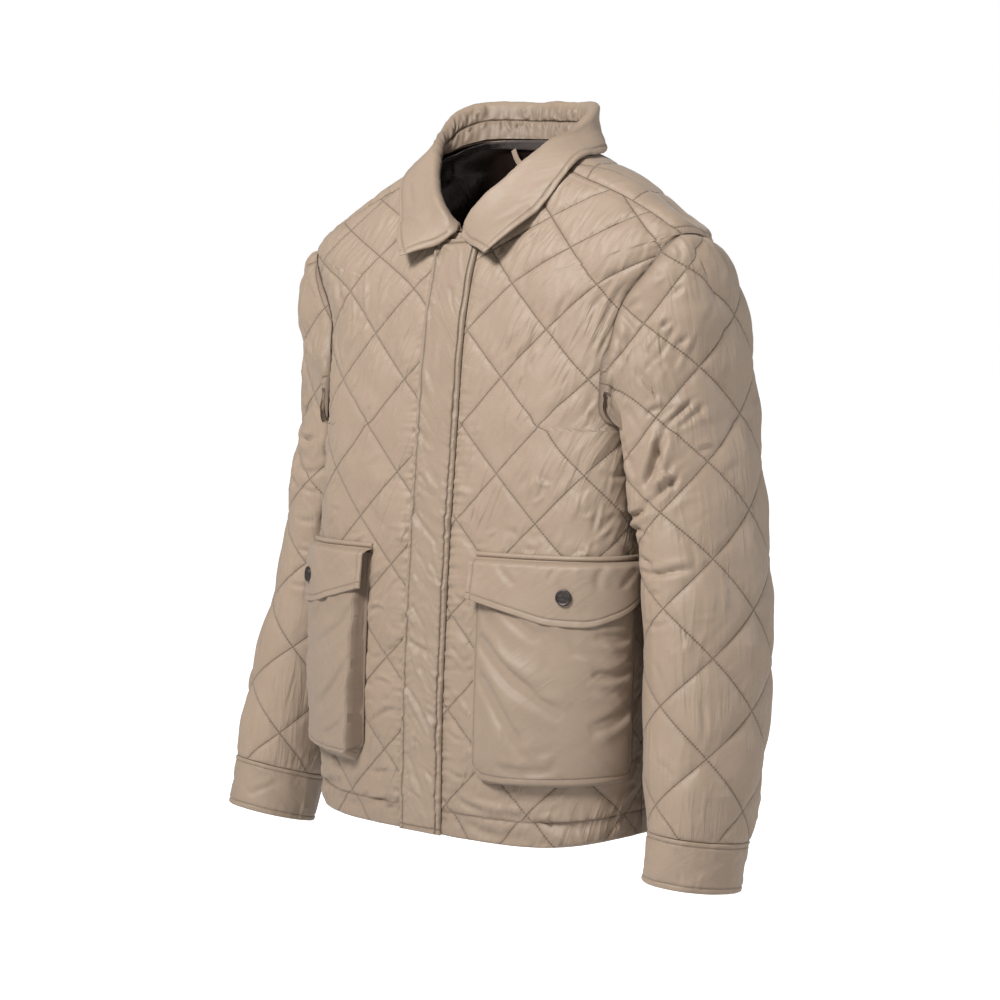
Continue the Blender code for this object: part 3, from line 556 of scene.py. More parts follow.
# ---- sleeves ---------------------------------------------------------------------
def sleeve_fine(side, v, al):
    """The sleeve's inner face on rows v and columns al, with its outward normals."""
    P0, T0, N0 = sleeve_start(al)
    R0 = sleeve_ring(side, CAP_Z + 0 * al, al)
    R2 = sleeve_ring(side, CAP_Z - 0.02 + 0 * al, al)
    T1 = unit(R2 - R0)
    span = np.linalg.norm(R0 - P0, axis=-1, keepdims=True)
    L0, L1 = span * cap_at(2, al)[..., None], span * cap_at(3, al)[..., None]
    s = np.clip(v, 0, 1)[:, None, None]
    H = ((2 * s**3 - 3 * s**2 + 1) * P0 + (s**3 - 2 * s**2 + s) * T0 * L0 + (-2 * s**3 + 3 * s**2) * R0 + (s**3 - s**2) * T1 * L1)
    vv, aa = np.broadcast_arrays(v[:, None], al[None, :])
    low = sleeve_ring(side, CAP_Z - np.maximum(vv - 1, 0) / 10, aa)
    P = np.where((vv <= 1)[..., None], H, low)
    x, y, z = P[..., 0], P[..., 1], P[..., 2]
    weight = smooth((-0.226 - z) / 0.03) * smooth((-np.sin(aa) + 0.75) / 0.5) * smooth(vv / 0.12)
    need = trunk_side(y, z) + SLEEVE_CLEAR + POCKET_ROOM * smooth((-0.010 - y) / 0.02) * smooth((-0.345 - z) / 0.025) * smooth((z + 0.640) / 0.025)
    short = need - x
    push = (short + np.sqrt(short**2 + 0.005**2)) / 2 * weight
    P = P.copy()
    P[..., 0] = x + push
    N = -grid_normals(P, tube=True)
    blend = smooth(vv / 0.10)[..., None]
    N = unit(N0[None] * (1 - blend) + N * blend)
    return P, N, push


SLEEVE_STEP_AT = dict(cap=0.19)


def sleeve_grid(side, step):
    end = 1 + (CAP_Z - CUFF_TOP[side]) * 10
    low = CAP_Z - CUFF_TOP[side]
    v = np.concatenate([lines(0.19, step, start=True) / 0.19, 1 + 10 * lines(low, step, end=True)[1:]])
    n = int(round(0.40 / (step * FINE)))
    al = np.radians(-90 + 360 * np.arange(n) / n)
    P, N, push = sleeve_fine(side, v, al)
    return dict(v=v, al=al, P=P, N=N, push=push, end=end)


def lay_out_sleeve(g, keep):
    """Cloth coordinates of a sleeve opened at the underarm; one more column than the grid has. Y goes up the arm."""
    P = np.concatenate([g["P"], g["P"][:, :1]], axis=1)
    R, C = P.shape[:2]
    rows, cols = some(R, keep), some(C, keep)
    sub = np.ix_(rows, cols)
    Q = P[sub]
    top = len(cols) // 2
    ar = np.concatenate([np.zeros((len(rows), 1)), np.cumsum(np.linalg.norm(np.diff(Q, axis=1), axis=2), axis=1)], axis=1)
    X = ar - ar[:, top:top + 1]
    dn = np.linalg.norm(np.diff(Q, axis=0), axis=2)
    Y = np.concatenate([np.cumsum(dn[::-1], axis=0)[::-1], np.zeros((1, len(cols)))], axis=0)
    pin = np.zeros(X.shape, bool)
    pin[-1, top] = True
    Xf, Yf = flatten(Q, X, Y, pin, rounds=60, hold=2e-5)
    lowx, lowy = Xf[-1], Yf[-1]
    # turn so that the outer line runs up
    i0, i1 = len(rows) - 1, int(np.argmin(np.abs(g["v"][rows] - 1.6)))
    dx, dy = Xf[i1, top] - Xf[i0, top], Yf[i1, top] - Yf[i0, top]
    ang = math.atan2(dx, dy)
    co, si = math.cos(ang), math.sin(ang)
    x0, y0 = Xf[i0, top], Yf[i0, top]
    Xr = co * (Xf - x0) - si * (Yf - y0)
    Yr = si * (Xf - x0) + co * (Yf - y0)
    return spread_grid(Xr, rows, cols, R, C), spread_grid(Yr, rows, cols, R, C)



def mirrored(grid):
    return grid * np.array([-1.0, 1.0, 1.0])


# ---- quilting ----------------------------------------------------------------------
# a crossing of the stitch lines in cloth coordinates, and half a diamond's width and height
QUILT = {
    "front_left": dict(x=0.033, y=-0.176, a=0.047, b=0.0455, rise=0.0),
    "front_right": dict(x=0.052, y=-0.133, a=0.0485, b=0.0455, rise=0.0),
    "back": dict(x=0.0187, y=-0.0063, a=0.047, b=0.0455, rise=None),
    "sleeve_left": dict(x=-0.050, y=0.165, a=0.0445, b=0.0452, rise=None),
    "sleeve_right": dict(x=-0.1115, y=0.129, a=0.0445, b=0.0465, rise=None),
}
HIGH = -0.130          # above this height the fronts' lines lean in to the shoulder


def lattice(q, X, Y):
    """Lattice coordinates, whole numbers on the stitch lines."""
    if q["rise"] is not None:
        s = (Y - HIGH + np.sqrt((Y - HIGH) ** 2 + 0.010**2)) / 2
        X, Y = X - 0.45 * s, Y + 0.38 * s
    m, n = (X - q["x"]) / q["a"], (Y - q["y"]) / q["b"]
    return (m + n) / 2, (m - n) / 2


def line_gap(q):
    return 2 * q["a"] * q["b"] / math.hypot(q["a"], q["b"])


def rise(d, reach, blunt=0.0009):
    """0 on a line of stitches, 1 away from it."""
    return 1 - np.exp(-(np.sqrt(d * d + blunt**2) - blunt) / reach)


def rim(e, radius):
    """Quarter round of a free edge."""
    k = 1 - np.clip(e / radius, 0, 1)
    return np.sqrt(np.clip(1 - k * k, 0, 1))


def hashed(k, n):
    v = np.sin(k * 12.9898 + n * 78.233) * 43758.5453
    return v - np.floor(v)


def ripple(s, key=0.0, sizes=(0.0062, 0.0098, 0.0155)):
    """Uneven waves along a seam, about -1 to 1."""
    out = 0.0
    for n, size in enumerate(sizes):
        ph = 2 * np.pi * hashed(key, n)
        out = out + np.sin(2 * np.pi * s / size + ph + 1.9 * np.sin(2 * np.pi * s / (size * 4.3) + 1.7 * ph))
    return out / (0.75 * len(sizes))


def bumpy(X, Y, size, seed, count=26):
    """Soft uneven swell over the cloth."""
    rng = np.random.default_rng(seed)
    out = np.zeros_like(X)
    for _ in range(count):
        ang, f = rng.uniform(0, 2 * np.pi), 2 * np.pi / (size * rng.uniform(0.6, 1.8))
        out += np.sin(f * (X * math.cos(ang) + Y * math.sin(ang)) + rng.uniform(0, 2 * np.pi))
    return out / math.sqrt(count / 2)


def streaks(X, Y, seed, count, lean, spread, length, width, height, where=None):
    """Many small folds of the shell. lean: direction in degrees from X; sizes in metres."""
    rng = np.random.default_rng(seed)
    out = np.zeros_like(X)
    x0, x1, y0, y1 = X.min(), X.max(), Y.min(), Y.max()
    fx, fy = X.ravel(), Y.ravel()
    flat = out.ravel()
    order = np.argsort(fy)
    sy = fy[order]
    for _ in range(count):
        cx, cy = rng.uniform(x0, x1), rng.uniform(y0, y1)
        r = rng.uniform(size=6)
        keep = 1.0 if where is None else float(where(cx, cy))
        if r[0] > keep:
            continue
        ang = math.radians(lean + spread * (2 * r[1] - 1))
        L = length * (0.45 + 0.9 * r[2])
        w = width * (0.7 + 0.9 * r[3] ** 2)
        amp = height * (0.35 + 0.9 * r[4]) * (1 if r[5] < 0.72 else -0.8)
        bow = 1.8 * (2 * hashed(cx * 997, 3) - 1)
        reach = L / 2 + 4 * w
        lo, hi = np.searchsorted(sy, [cy - reach, cy + reach])
        k = order[lo:hi]
        k = k[np.abs(fx[k] - cx) < reach]
        dx, dy = fx[k] - cx, fy[k] - cy
        u = (dx * math.cos(ang) + dy * math.sin(ang)) / (L / 2)
        v = (-dx * math.sin(ang) + dy * math.cos(ang)) / w + bow * (1 - u * u)
        body = np.clip(1 - u * u, 0, 1) ** 1.5
        flat[k] += amp * body * (np.exp(-(v * v)) - 0.55 * np.exp(-(((v - 2.1) / 1.4) ** 2)))
    return flat.reshape(X.shape)


def creases(X, Y, table):
    """Folds listed in a table. Each: x, y at one end, at the middle, at the other end, half width, height (- for a
    trough).
    """
    out = np.zeros_like(X)
    for x0, y0, xm, ym, x1, y1, w, h in table:
        # the curve as a short chain, and the distance to its nearest point
        s = np.linspace(0, 1, 25)
        cxm, cym = 2 * xm - (x0 + x1) / 2, 2 * ym - (y0 + y1) / 2
        bx = (1 - s) ** 2 * x0 + 2 * s * (1 - s) * cxm + s * s * x1
        by = (1 - s) ** 2 * y0 + 2 * s * (1 - s) * cym + s * s * y1
        reach = 4.5 * w
        near = (X > bx.min() - reach) & (X < bx.max() + reach) & (Y > by.min() - reach) & (Y < by.max() + reach)
        if not near.any():
            continue
        px, py = X[near], Y[near]
        d = np.hypot(px[:, None] - bx, py[:, None] - by)
        k = d.argmin(1)
        tx, ty = np.gradient(bx)[k], np.gradient(by)[k]
        tl = np.maximum(np.hypot(tx, ty), 1e-12)
        along = ((px - bx[k]) * tx + (py - by[k]) * ty) / tl
        side = (-(px - bx[k]) * ty + (py - by[k]) * tx) / tl
        L = np.hypot(np.diff(bx), np.diff(by)).sum()
        u = np.clip((s[k] + along / L), -0.3, 1.3)
        body = np.clip(4 * u * (1 - u), 0, 1) ** 0.6
        v = side / w
        out[near] += h * body * (np.exp(-v * v) - 0.45 * np.exp(-((v - 1.9) / 1.2) ** 2) - 0.30 * np.exp(-((v + 1.9) / 1.3) ** 2))
    return out


def run_down(P):
    """Length along the columns from the first row."""
    return np.concatenate([np.zeros((1, P.shape[1])), np.cumsum(np.linalg.norm(np.diff(P, axis=0), axis=2), axis=0)], axis=0)


def run_across(P):
    return np.concatenate([np.zeros((P.shape[0], 1)), np.cumsum(np.linalg.norm(np.diff(P, axis=1), axis=2), axis=1)], axis=1)


SINK = 0.0012                      # below the wall's face on a stitch line
GROOVE = 0.0014                    # steep part of the rise beside a line
PUFF = {"front_left": 0.0017, "front_right": 0.0017, "back": 0.0020, "sleeve_left": 0.0029, "sleeve_right": 0.0029}


def quilted(name, X, Y, seam, hem=None, low=0.0, flat=0.0, seed=1, swell=0.0006):
    """Height of the outer face over the wall's middle face. seam: distance to the nearest seam; low: 0..1 less puff; flat: 0..1 pressed flat."""
    q = QUILT[name]
    p, r = lattice(q, X, Y)
    gap, step = line_gap(q), math.hypot(q["a"], q["b"])
    dp, dr = np.abs(p - np.round(p)) * gap, np.abs(r - np.round(r)) * gap
    pillow = (1 - (1 - 2 * dp / gap) ** 2) * (1 - (1 - 2 * dr / gap) ** 2)
    groove = rise(dp, 0.0026) * rise(dr, 0.0026)
    body = rise(dp, 0.0060) * rise(dr, 0.0060) * rise(seam, 0.0050)
    h = (GROOVE * groove * rise(seam, 0.0024) + PUFF[name] * pillow * rise(seam, 0.0120)) * (1 - 0.42 * low) - SINK
    # short puckers square to each stitch line, and coarser ones at the seams
    for d, key, along, much in ((dp, np.round(p), r * step, 1.0), (dr, np.round(r) + 57.0, p * step, 0.75)):
        near = np.exp(-d / 0.0055) * rise(d, 0.0010)
        h += much * 0.00046 * ripple(along, key, (0.0050, 0.0079, 0.0128)) * near
        h += much * 0.00055 * np.maximum(ripple(along, key + 7.0, (0.017, 0.027, 0.043)), 0) * np.exp(-d / 0.0110) * rise(d, 0.0016)
    h += 0.00070 * ripple(Y + 0.35 * X, 11.0 + seed, (0.0085, 0.013, 0.021)) * np.exp(-seam / 0.0085) * rise(seam, 0.0015)
    if hem is not None:
        line = np.abs(hem - HEM_LINE)
        h -= 0.0024 * np.exp(-line / 0.0028) * body
        h += 0.00065 * ripple(X, 31.0 + seed, (0.0058, 0.0092, 0.015)) * np.exp(-line / 0.0080)
    h += swell * body * bumpy(X, Y, 0.055, 100 + seed)
    h = h * (1 - flat) + (-0.0004) * flat
    return h, p, r, body


# ---- the collar, pockets and small pieces: the same forms as the solids ---------------------
PLACKET_TOP = -0.0890
PLACKET_WALL = 0.0022
LINING, LINING_SEAT = 0.0010, 0.0023
TAPE_WALL = 0.0009
SEAT = 0.0012
POCKET_SEAT = 0.0022
POCKET = {
    "left": dict(start=0.066, width=0.164, top=-0.3965, foot=-0.6050, near=0.0150, far=0.0030),
    "right": dict(start=0.080, width=0.150, top=-0.3965, foot=-0.6050, near=0.0170, far=0.0030),
}
POCKET_WALL = 0.0014
FLAP_TOP, FLAP_STRIP = -0.3865, 0.0055
FLAP_WALL = 0.0022
FLAP_EDGE = np.array([
    (0.00, 0.040),
    (0.30, 0.051),
    (0.55, 0.060),
    (0.70, 0.061),
    (0.85, 0.053),
    (1.00, 0.036),
])
SNAP_AT, SNAP_Z = 0.60, -0.4250
SNAP_RADIUS, SNAP_HEIGHT = 0.0079, 0.0024
# share of the way to the centre back, angle on the neck ring, roll x, y, z, leaf edge x, y, z
COLLAR = np.array([
    (0.00, -88.0, 0.0040, -0.0565, -0.0745, 0.0560, -0.0880, -0.1030),
    (0.10, -74.0, 0.0185, -0.0590, -0.0570, 0.0665, -0.0800, -0.0925),
    (0.20, -56.0, 0.0300, -0.0545, -0.0445, 0.0790, -0.0680, -0.0790),
    (0.30, -40.0, 0.0450, -0.0410, -0.0300, 0.0905, -0.0520, -0.0650),
    (0.40, -26.0, 0.0590, -0.0260, -0.0130, 0.1000, -0.0360, -0.0510),
    (0.50, -10.0, 0.0715, -0.0090, 0.0040, 0.1075, -0.0170, -0.0340),
    (0.60, 6.0, 0.0825, 0.0075, 0.0190, 0.1110, 0.0040, -0.0170),
    (0.70, 24.0, 0.0880, 0.0260, 0.0350, 0.1080, 0.0300, -0.0060),
    (0.80, 45.0, 0.0770, 0.0480, 0.0480, 0.0930, 0.0570, -0.0010),
    (0.90, 68.0, 0.0450, 0.0680, 0.0560, 0.0540, 0.0800, 0.0000),
    (1.00, 90.0, 0.0000, 0.0750, 0.0590, 0.0000, 0.0880, 0.0000),
])
COLLAR_WALL, STAND_WALL = 0.0028, 0.0022
STAND_SHARE = 0.50
HANGER_HALF, HANGER_DROP, HANGER_WIDTH, HANGER_WALL = 0.034, 0.018, 0.0065, 0.0012

_near = {}


def clear_of_trunk(P, need):
    """Moves points out along the trunk's normal until they are `need` from its inner face."""
    if not _near:
        t, th = np.meshgrid(np.linspace(0.80, 1.0, 61), np.radians(np.linspace(-90, 90, 241)), indexing="ij")
        Q, n = trunk(t, th).reshape(-1, 3), trunk_normal(t, th).reshape(-1, 3)
        _near.update(Q=np.concatenate([Q, mirrored(Q)]), n=np.concatenate([n, mirrored(n)]))
    out = P.copy()
    for _ in range(3):
        k = np.array([np.sum((p - _near["Q"]) ** 2, axis=1).argmin() for p in out])
        n = _near["n"][k]
        height = np.sum((out - _near["Q"][k]) * n, 1)
        out += np.maximum(need - height, 0)[:, None] * n
    return out


def leaf_need(P):
    fly = smooth((0.040 - np.abs(P[:, 0])) / 0.012) * (P[:, 1] < 0)
    return WALL + 0.0020 + COLLAR_WALL / 2 + fly * (SEAT + PLACKET_WALL)


def leaf_rows(neck, roll, edge, out, share):
    """Middle of the leaf's wall on every section, from the inner collar seam over the roll to the edge."""
    rise_ = np.linalg.norm(roll - neck, axis=1, keepdims=True)
    up = (roll - neck) / rise_
    rho = np.minimum(0.0042, 0.30 * rise_)
    edge = clear_of_trunk(edge, leaf_need(edge))
    out = unit(out - up * np.sum(out * up, axis=1, keepdims=True))
    top = roll + out * rho
    pts = [neck + (roll - neck) * share]
    for ang in (180, 130, 90, 45, 5):
        r = math.radians(ang)
        pts.append(top + rho * (math.cos(r) * out + math.sin(r) * up) - up * rho)
    b0 = pts[-1]
    L = np.linalg.norm(edge - b0, axis=1, keepdims=True)
    c1 = b0 - up * (0.25 * L) + out * 0.003
    c2 = edge - unit(edge - b0) * (0.35 * L) + out * 0.003
    for k in (0.25, 0.5, 0.75, 1.0):
        p = (1 - k) ** 3 * b0 + 3 * (1 - k) ** 2 * k * c1 + 3 * (1 - k) * k * k * c2 + k**3 * edge
        pts.append(clear_of_trunk(p, leaf_need(p)))
    return np.stack(pts, 1)


def collar_lines(s):
    col = [pchip(COLLAR[:, 0], COLLAR[:, i], s) for i in range(1, 8)]
    th = np.radians(col[0])
    neck = trunk(1.0, th)
    roll, edge = np.stack(col[1:4], -1), np.stack(col[4:7], -1)
    neck = neck + trunk_normal(np.asarray(1.0), th) * 0.0010 + unit(trunk(1.0, th) - trunk(0.995, th)) * (COLLAR_WALL / 2 + 0.0010)
    outward = unit(np.cross(np.gradient(roll, axis=0), roll - neck))
    return neck, roll, edge, outward


def whole(half):
    """The collar's wearer's-left half (sections first) and its mirror image, from the left end to the right."""
    return np.concatenate([half, mirrored(half[-2::-1])])


def resample(points, shares):
    """Every section (sections, points, xyz) read at shares of its own length."""
    out = np.empty((len(points), len(shares), 3))
    for i, p in enumerate(points):
        s = np.concatenate([[0], np.cumsum(np.linalg.norm(np.diff(p, axis=0), axis=1))])
        at = shares * s[-1]
        for c in range(3):
            out[i, :, c] = pchip_free(s, p[:, c], at)
    return out


def collar_leaf(step):
    coarse = np.linspace(0, 1, 41)
    neck, roll, edge, outward = collar_lines(coarse)
    rows = leaf_rows(neck, roll, edge, outward, STAND_SHARE)
    # even spacing along the collar's edge, closer at its front end
    run = np.concatenate([[0], np.cumsum(np.linalg.norm(np.diff(edge, axis=0), axis=1))])
    places = lines(run[-1], step, start=True, marks=(0.0065,))
    s = np.interp(places, run, coarse)
    fine = np.empty((len(s),) + rows.shape[1:])
    for j in range(rows.shape[1]):
        for c in range(3):
            fine[:, j, c] = pchip_free(coarse, rows[:, j, c], s)
    width = np.mean(np.linalg.norm(np.diff(rows, axis=1), axis=2).sum(1))
    across = lines(width, step, start=True, end=True, marks=(width - 0.0065,)) / width
    half = resample(fine, across)
    return whole(half), s, across


def collar_stand(step):
    coarse = np.linspace(0, 1, 41)
    neck, roll, edge, outward = collar_lines(coarse)
    run = np.concatenate([[0], np.cumsum(np.linalg.norm(np.diff(roll, axis=0), axis=1))])
    s = np.interp(lines(run[-1], step, start=True), run, coarse)
    neck, roll, edge, outward = collar_lines(s)
    rise_ = np.linalg.norm(roll - neck, axis=1)
    k = lines(0.028, step) / 0.028
    end = STAND_SHARE - 0.0009 / rise_
    half = neck[:, None] + (roll - neck)[:, None] * (k[None, :] * end[:, None])[..., None]
    return whole(half), s, k


def pocket_stand(p, x, z):
    up = np.clip((z - p["foot"]) / (p["top"] - p["foot"]), 0, 1)
    return (p["near"] + (p["far"] - p["near"]) * x) * (1 - 0.45 * up)


def on_front(a, z):
    """Level and angle on the front for arc a and front height z."""
    t = level_of(z)
    return t, theta(t, a)


def flap_off(p, x, z):
    over = WALL + POCKET_SEAT + pocket_stand(p, np.clip(x, 0, 1), np.minimum(z, p["top"])) + POCKET_WALL + 0.0010
    up = smooth((FLAP_TOP - FLAP_STRIP - z) / 0.0030)
    side = 0.0018 * smooth((x - 0.72) / 0.2)
    return WALL + POCKET_SEAT + side + (over - WALL - POCKET_SEAT) * up


# ---- materials -------------------------------------------------------------------------
class Nodes:
    """Small helper that adds and links shader nodes."""

    def __init__(self, name):
        self.mat = bpy.data.materials.new(name)
        self.mat.use_nodes = True
        self.tree = self.mat.node_tree
        self.shader = self.tree.nodes["Principled BSDF"]

    def add(self, kind, inputs=(), **props):
        node = self.tree.nodes.new("ShaderNode" + kind)
        for key, value in props.items():
            setattr(node, key, value)
        for key, value in dict(inputs).items():
            self.put(node, key, value)
        return node

    def put(self, node, key, value):
        if isinstance(value, bpy.types.NodeSocket):
            self.tree.links.new(value, node.inputs[key])
        else:
            node.inputs[key].default_value = value

    def math(self, op, a, b=0.0, c=0.0, clamp=False):
        node = self.add("Math", operation=op, use_clamp=clamp)
        for k, value in enumerate((a, b, c)):
            if isinstance(value, bpy.types.NodeSocket) or k < 2 or op in ("MULTIPLY_ADD",):
                self.put(node, k, value)
        return node.outputs[0]

    def ramp(self, value, lo, hi, to_lo=0.0, to_hi=1.0, kind="SMOOTHSTEP"):
        node = self.add("MapRange", {"Value": value, "From Min": lo, "From Max": hi, "To Min": to_lo, "To Max": to_hi}, interpolation_type=kind)
        return node.outputs["Result"]

    def mix(self, factor, a, b):
        node = self.add("Mix", data_type="RGBA")
        self.put(node, 0, factor)
        self.put(node, 6, a)
        self.put(node, 7, b)
        return node.outputs[2]

    def scaled(self, vector, scale):
        return self.add("Mapping", {"Vector": vector, "Scale": scale}).outputs[0]

    def noise(self, vector, scale, detail=2.0, rough=0.5, distort=0.0):
        node = self.add("TexNoise", {"Vector": vector, "Scale": scale, "Detail": detail, "Roughness": rough, "Distortion": distort})
        return node.outputs[0]


def rgb(colour, k=1.0):
    return (colour[0] * k, colour[1] * k, colour[2] * k, 1.0)


CLOTH = (0.274, 0.203, 0.147)


def cloth_material(name, q=None, colour=CLOTH, rough=0.55, crumple=1.0, lean=90.0, streak=1.0, crisp=0.6, thread=(0.45, 0.14)):
    """Satin nylon. q: the quilting whose stitch lines are drawn in finely on top of the modelled channels, each line
    dark with painted shade of its channel beside it. thread: how dark the thread's line is drawn, and how dark the band
    of painted shade beside it is.
    """
    n = Nodes(name)
    uv = n.add("UVMap", uv_map="Cloth").outputs[0]
    # fine folds of the shell, drawn out along the cloth, and a small all-over crumple
    turned = n.add("Mapping", {"Vector": uv, "Rotation": (0.0, 0.0, math.radians(90.0 - lean))}).outputs[0]
    long_ = n.noise(n.scaled(turned, (125.0, 13.0, 1.0)), 1.0, 2.0, 0.5, 0.7)
    patch = n.ramp(n.noise(uv, 21.0, 2.0), 0.40, 0.66)
    fold = n.math("MULTIPLY", n.ramp(long_, 0.28, 0.72), patch)
    soft = n.noise(uv, 62.0, 3.0, 0.55)
    weave = n.noise(n.scaled(uv, (2600.0, 1900.0, 1.0)), 1.0, 1.0)
    height = n.math("MULTIPLY", fold, 0.00110 * streak)
    # crisp small folds, in patches
    sharp = n.noise(n.scaled(turned, (64.0, 9.0, 1.0)), 1.0, 1.0, 0.4, 0.35)
    sharp = n.math("SUBTRACT", 1.0, n.math("ABSOLUTE", n.math("MULTIPLY_ADD", sharp, 2.0, -1.0)))
    sharp = n.math("POWER", n.ramp(sharp, 0.72, 1.0, kind="LINEAR"), 1.7)
    where_ = n.ramp(n.noise(uv, 13.0, 1.0), 0.42, 0.60)
    height = n.math("MULTIPLY_ADD", n.math("MULTIPLY", sharp, where_), 0.00120 * crisp, height)
    height = n.math("MULTIPLY_ADD", soft, 0.00042 * crumple, height)
    height = n.math("MULTIPLY_ADD", weave, 0.000016, height)
    tint = n.ramp(n.noise(uv, 11.0, 4.0, 0.6), 0.30, 0.70, 0.965, 1.03, "LINEAR")
    tint = n.math("MULTIPLY", tint, n.ramp(weave, 0.25, 0.75, 0.985, 1.015, "LINEAR"))
    slub = n.noise(n.scaled(uv, (150.0, 1050.0, 1.0)), 1.0, 2.0, 0.6)
    tint = n.math("MULTIPLY", tint, n.ramp(slub, 0.30, 0.70, 0.960, 1.040, "LINEAR"))
    height = n.math("MULTIPLY_ADD", slub, 0.000045, height)
    if q is not None:
        pr = n.add("SeparateXYZ", {0: n.add("UVMap", uv_map="Lattice").outputs[0]})
        p, r = pr.outputs[0], pr.outputs[1]
        gap, step = line_gap(q), math.hypot(q["a"], q["b"])
        dp = n.math("MULTIPLY", n.math("PINGPONG", p, 0.5), gap)
        dr = n.math("MULTIPLY", n.math("PINGPONG", r, 0.5), gap)
        near = n.math("MINIMUM", dp, dr)
        # the stitch line is drawn dark, partly the thread and partly painted shade of its groove; the band beside it is
        # painted shade of the channel
        line = n.math("SUBTRACT", 1.0, n.ramp(near, 0.00010, 0.00080))
        shade = n.math("SUBTRACT", 1.0, n.ramp(near, 0.0004, 0.0032))
        # the pull of each stitch
        pull = None
        for d, along in ((dp, r), (dr, p)):
            wave = n.math("SINE", n.math("MULTIPLY", along, 2 * math.pi * step / 0.0031))
            here = n.math("SUBTRACT", 1.0, n.ramp(d, 0.0006, 0.0030))
            wave = n.math("MULTIPLY", wave, here)
            pull = wave if pull is None else n.math("ADD", pull, wave)
        height = n.math("MULTIPLY_ADD", pull, 0.00013, height)
        height = n.math("MULTIPLY_ADD", line, -0.00045, height)
    base = n.mix(n.ramp(n.noise(uv, 27.0, 2.0), 0.35, 0.65), rgb(colour, 0.985), rgb((colour[0] * 1.01, colour[1] * 1.015, colour[2] * 1.02)))
    scaled = n.add("VectorMath", {0: base}, operation="SCALE")
    n.put(scaled, "Scale", tint)
    # the needle's line is drawn a deeper brown, with painted shade in a band beside it; the second channel of the
    # sewing map is painted shade
    both = n.add("SeparateXYZ", {0: n.add("UVMap", uv_map="SewAndShade").outputs[0]})
    sewn, shadow = both.outputs[0], both.outputs[1]
    thin = n.math("SUBTRACT", 1.0, n.ramp(sewn, 0.00025, 0.00100))
    wide = n.math("SUBTRACT", 1.0, n.ramp(sewn, 0.0008, 0.0034))
    dark = n.math("MULTIPLY_ADD", thin, thread[0], n.math("MULTIPLY", wide, thread[1]))
    # on quilted cloth the stitch line and the painted shade of its channel darken the colour too
    if q is not None:
        dark = n.math("MAXIMUM", dark, n.math("MULTIPLY_ADD", line, 0.50, n.math("MULTIPLY", shade, 0.15)))
    height = n.math("MULTIPLY_ADD", thin, -0.00025, height)
    coloured = n.mix(dark, scaled.outputs[0], rgb((colour[0] * 0.30, colour[1] * 0.24, colour[2] * 0.18)))
    # painted shade: the cloth turns a deeper brown as far as the second channel asks
    coloured = n.mix(shadow, coloured, rgb((colour[0] * 0.26, colour[1] * 0.22, colour[2] * 0.19)))
    n.put(n.shader, "Base Color", coloured)
    n.put(n.shader, "Roughness", n.ramp(soft, 0.2, 0.8, rough - 0.04, rough + 0.06, "LINEAR"))
    bump = n.add("Bump", {"Strength": 1.0, "Distance": 1.0, "Height": height})
    n.put(n.shader, "Normal", bump.outputs[0])
    n.shader.inputs["Specular IOR Level"].default_value = 0.38
    n.shader.inputs["Sheen Weight"].default_value = 0.10
    n.shader.inputs["Sheen Roughness"].default_value = 0.45
    return n.mat


def lining_material(name):
    n = Nodes(name)
    where = n.add("TexCoord").outputs["Object"]
    soft = n.noise(n.scaled(where, (1.0, 1.0, 0.35)), 46.0, 3.0, 0.5, 0.6)
    fine = n.noise(where, 900.0, 1.0)
    height = n.math("MULTIPLY_ADD", fine, 0.00002, n.math("MULTIPLY", soft, 0.0014))
    n.put(n.shader, "Base Color", n.mix(n.ramp(soft, 0.3, 0.7), rgb((0.0100, 0.0058, 0.0042)), rgb((0.0160, 0.0098, 0.0074))))
    n.put(n.shader, "Roughness", n.ramp(fine, 0.2, 0.8, 0.30, 0.40, "LINEAR"))
    n.shader.inputs["Specular IOR Level"].default_value = 0.34
    n.shader.inputs["Specular Tint"].default_value = (1.0, 0.86, 0.76, 1.0)
    n.put(n.shader, "Normal", n.add("Bump", {"Strength": 1.0, "Distance": 1.0, "Height": height}).outputs[0])
    return n.mat


def tape_material(name):
    n = Nodes(name)
    uv = n.add("UVMap", uv_map="Cloth").outputs[0]
    parts = n.add("SeparateXYZ", {0: uv})
    slant = n.math("SINE", n.math("MULTIPLY", n.math("ADD", parts.outputs[0], parts.outputs[1]), 2 * math.pi / 0.0011))
    rough = n.noise(uv, 700.0, 2.0)
    n.put(n.shader, "Base Color", n.mix(n.ramp(slant, -1.0, 1.0), rgb((0.060, 0.047, 0.043)), rgb((0.098, 0.079, 0.072))))
    n.put(n.shader, "Roughness", n.ramp(rough, 0.2, 0.8, 0.65, 0.85, "LINEAR"))
    height = n.math("MULTIPLY_ADD", rough, 0.00006, n.math("MULTIPLY", slant, 0.00010))
    n.put(n.shader, "Normal", n.add("Bump", {"Strength": 1.0, "Distance": 1.0, "Height": height}).outputs[0])
    return n.mat


def metal_material(name):
    n = Nodes(name)
    where = n.add("TexCoord").outputs["Object"]
    speck = n.noise(where, 2400.0, 3.0, 0.65)
    cloud = n.noise(where, 380.0, 2.0)
    n.put(n.shader, "Base Color", n.mix(n.ramp(cloud, 0.3, 0.7), rgb((0.055, 0.048, 0.045)), rgb((0.095, 0.083, 0.077))))
    n.put(n.shader, "Roughness", n.ramp(speck, 0.3, 0.7, 0.34, 0.52, "LINEAR"))
    n.shader.inputs["Metallic"].default_value = 1.0
    n.put(n.shader, "Normal", n.add("Bump", {"Strength": 1.0, "Distance": 1.0, "Height": n.math("MULTIPLY", speck, 0.00005)}).outputs[0])
    return n.mat


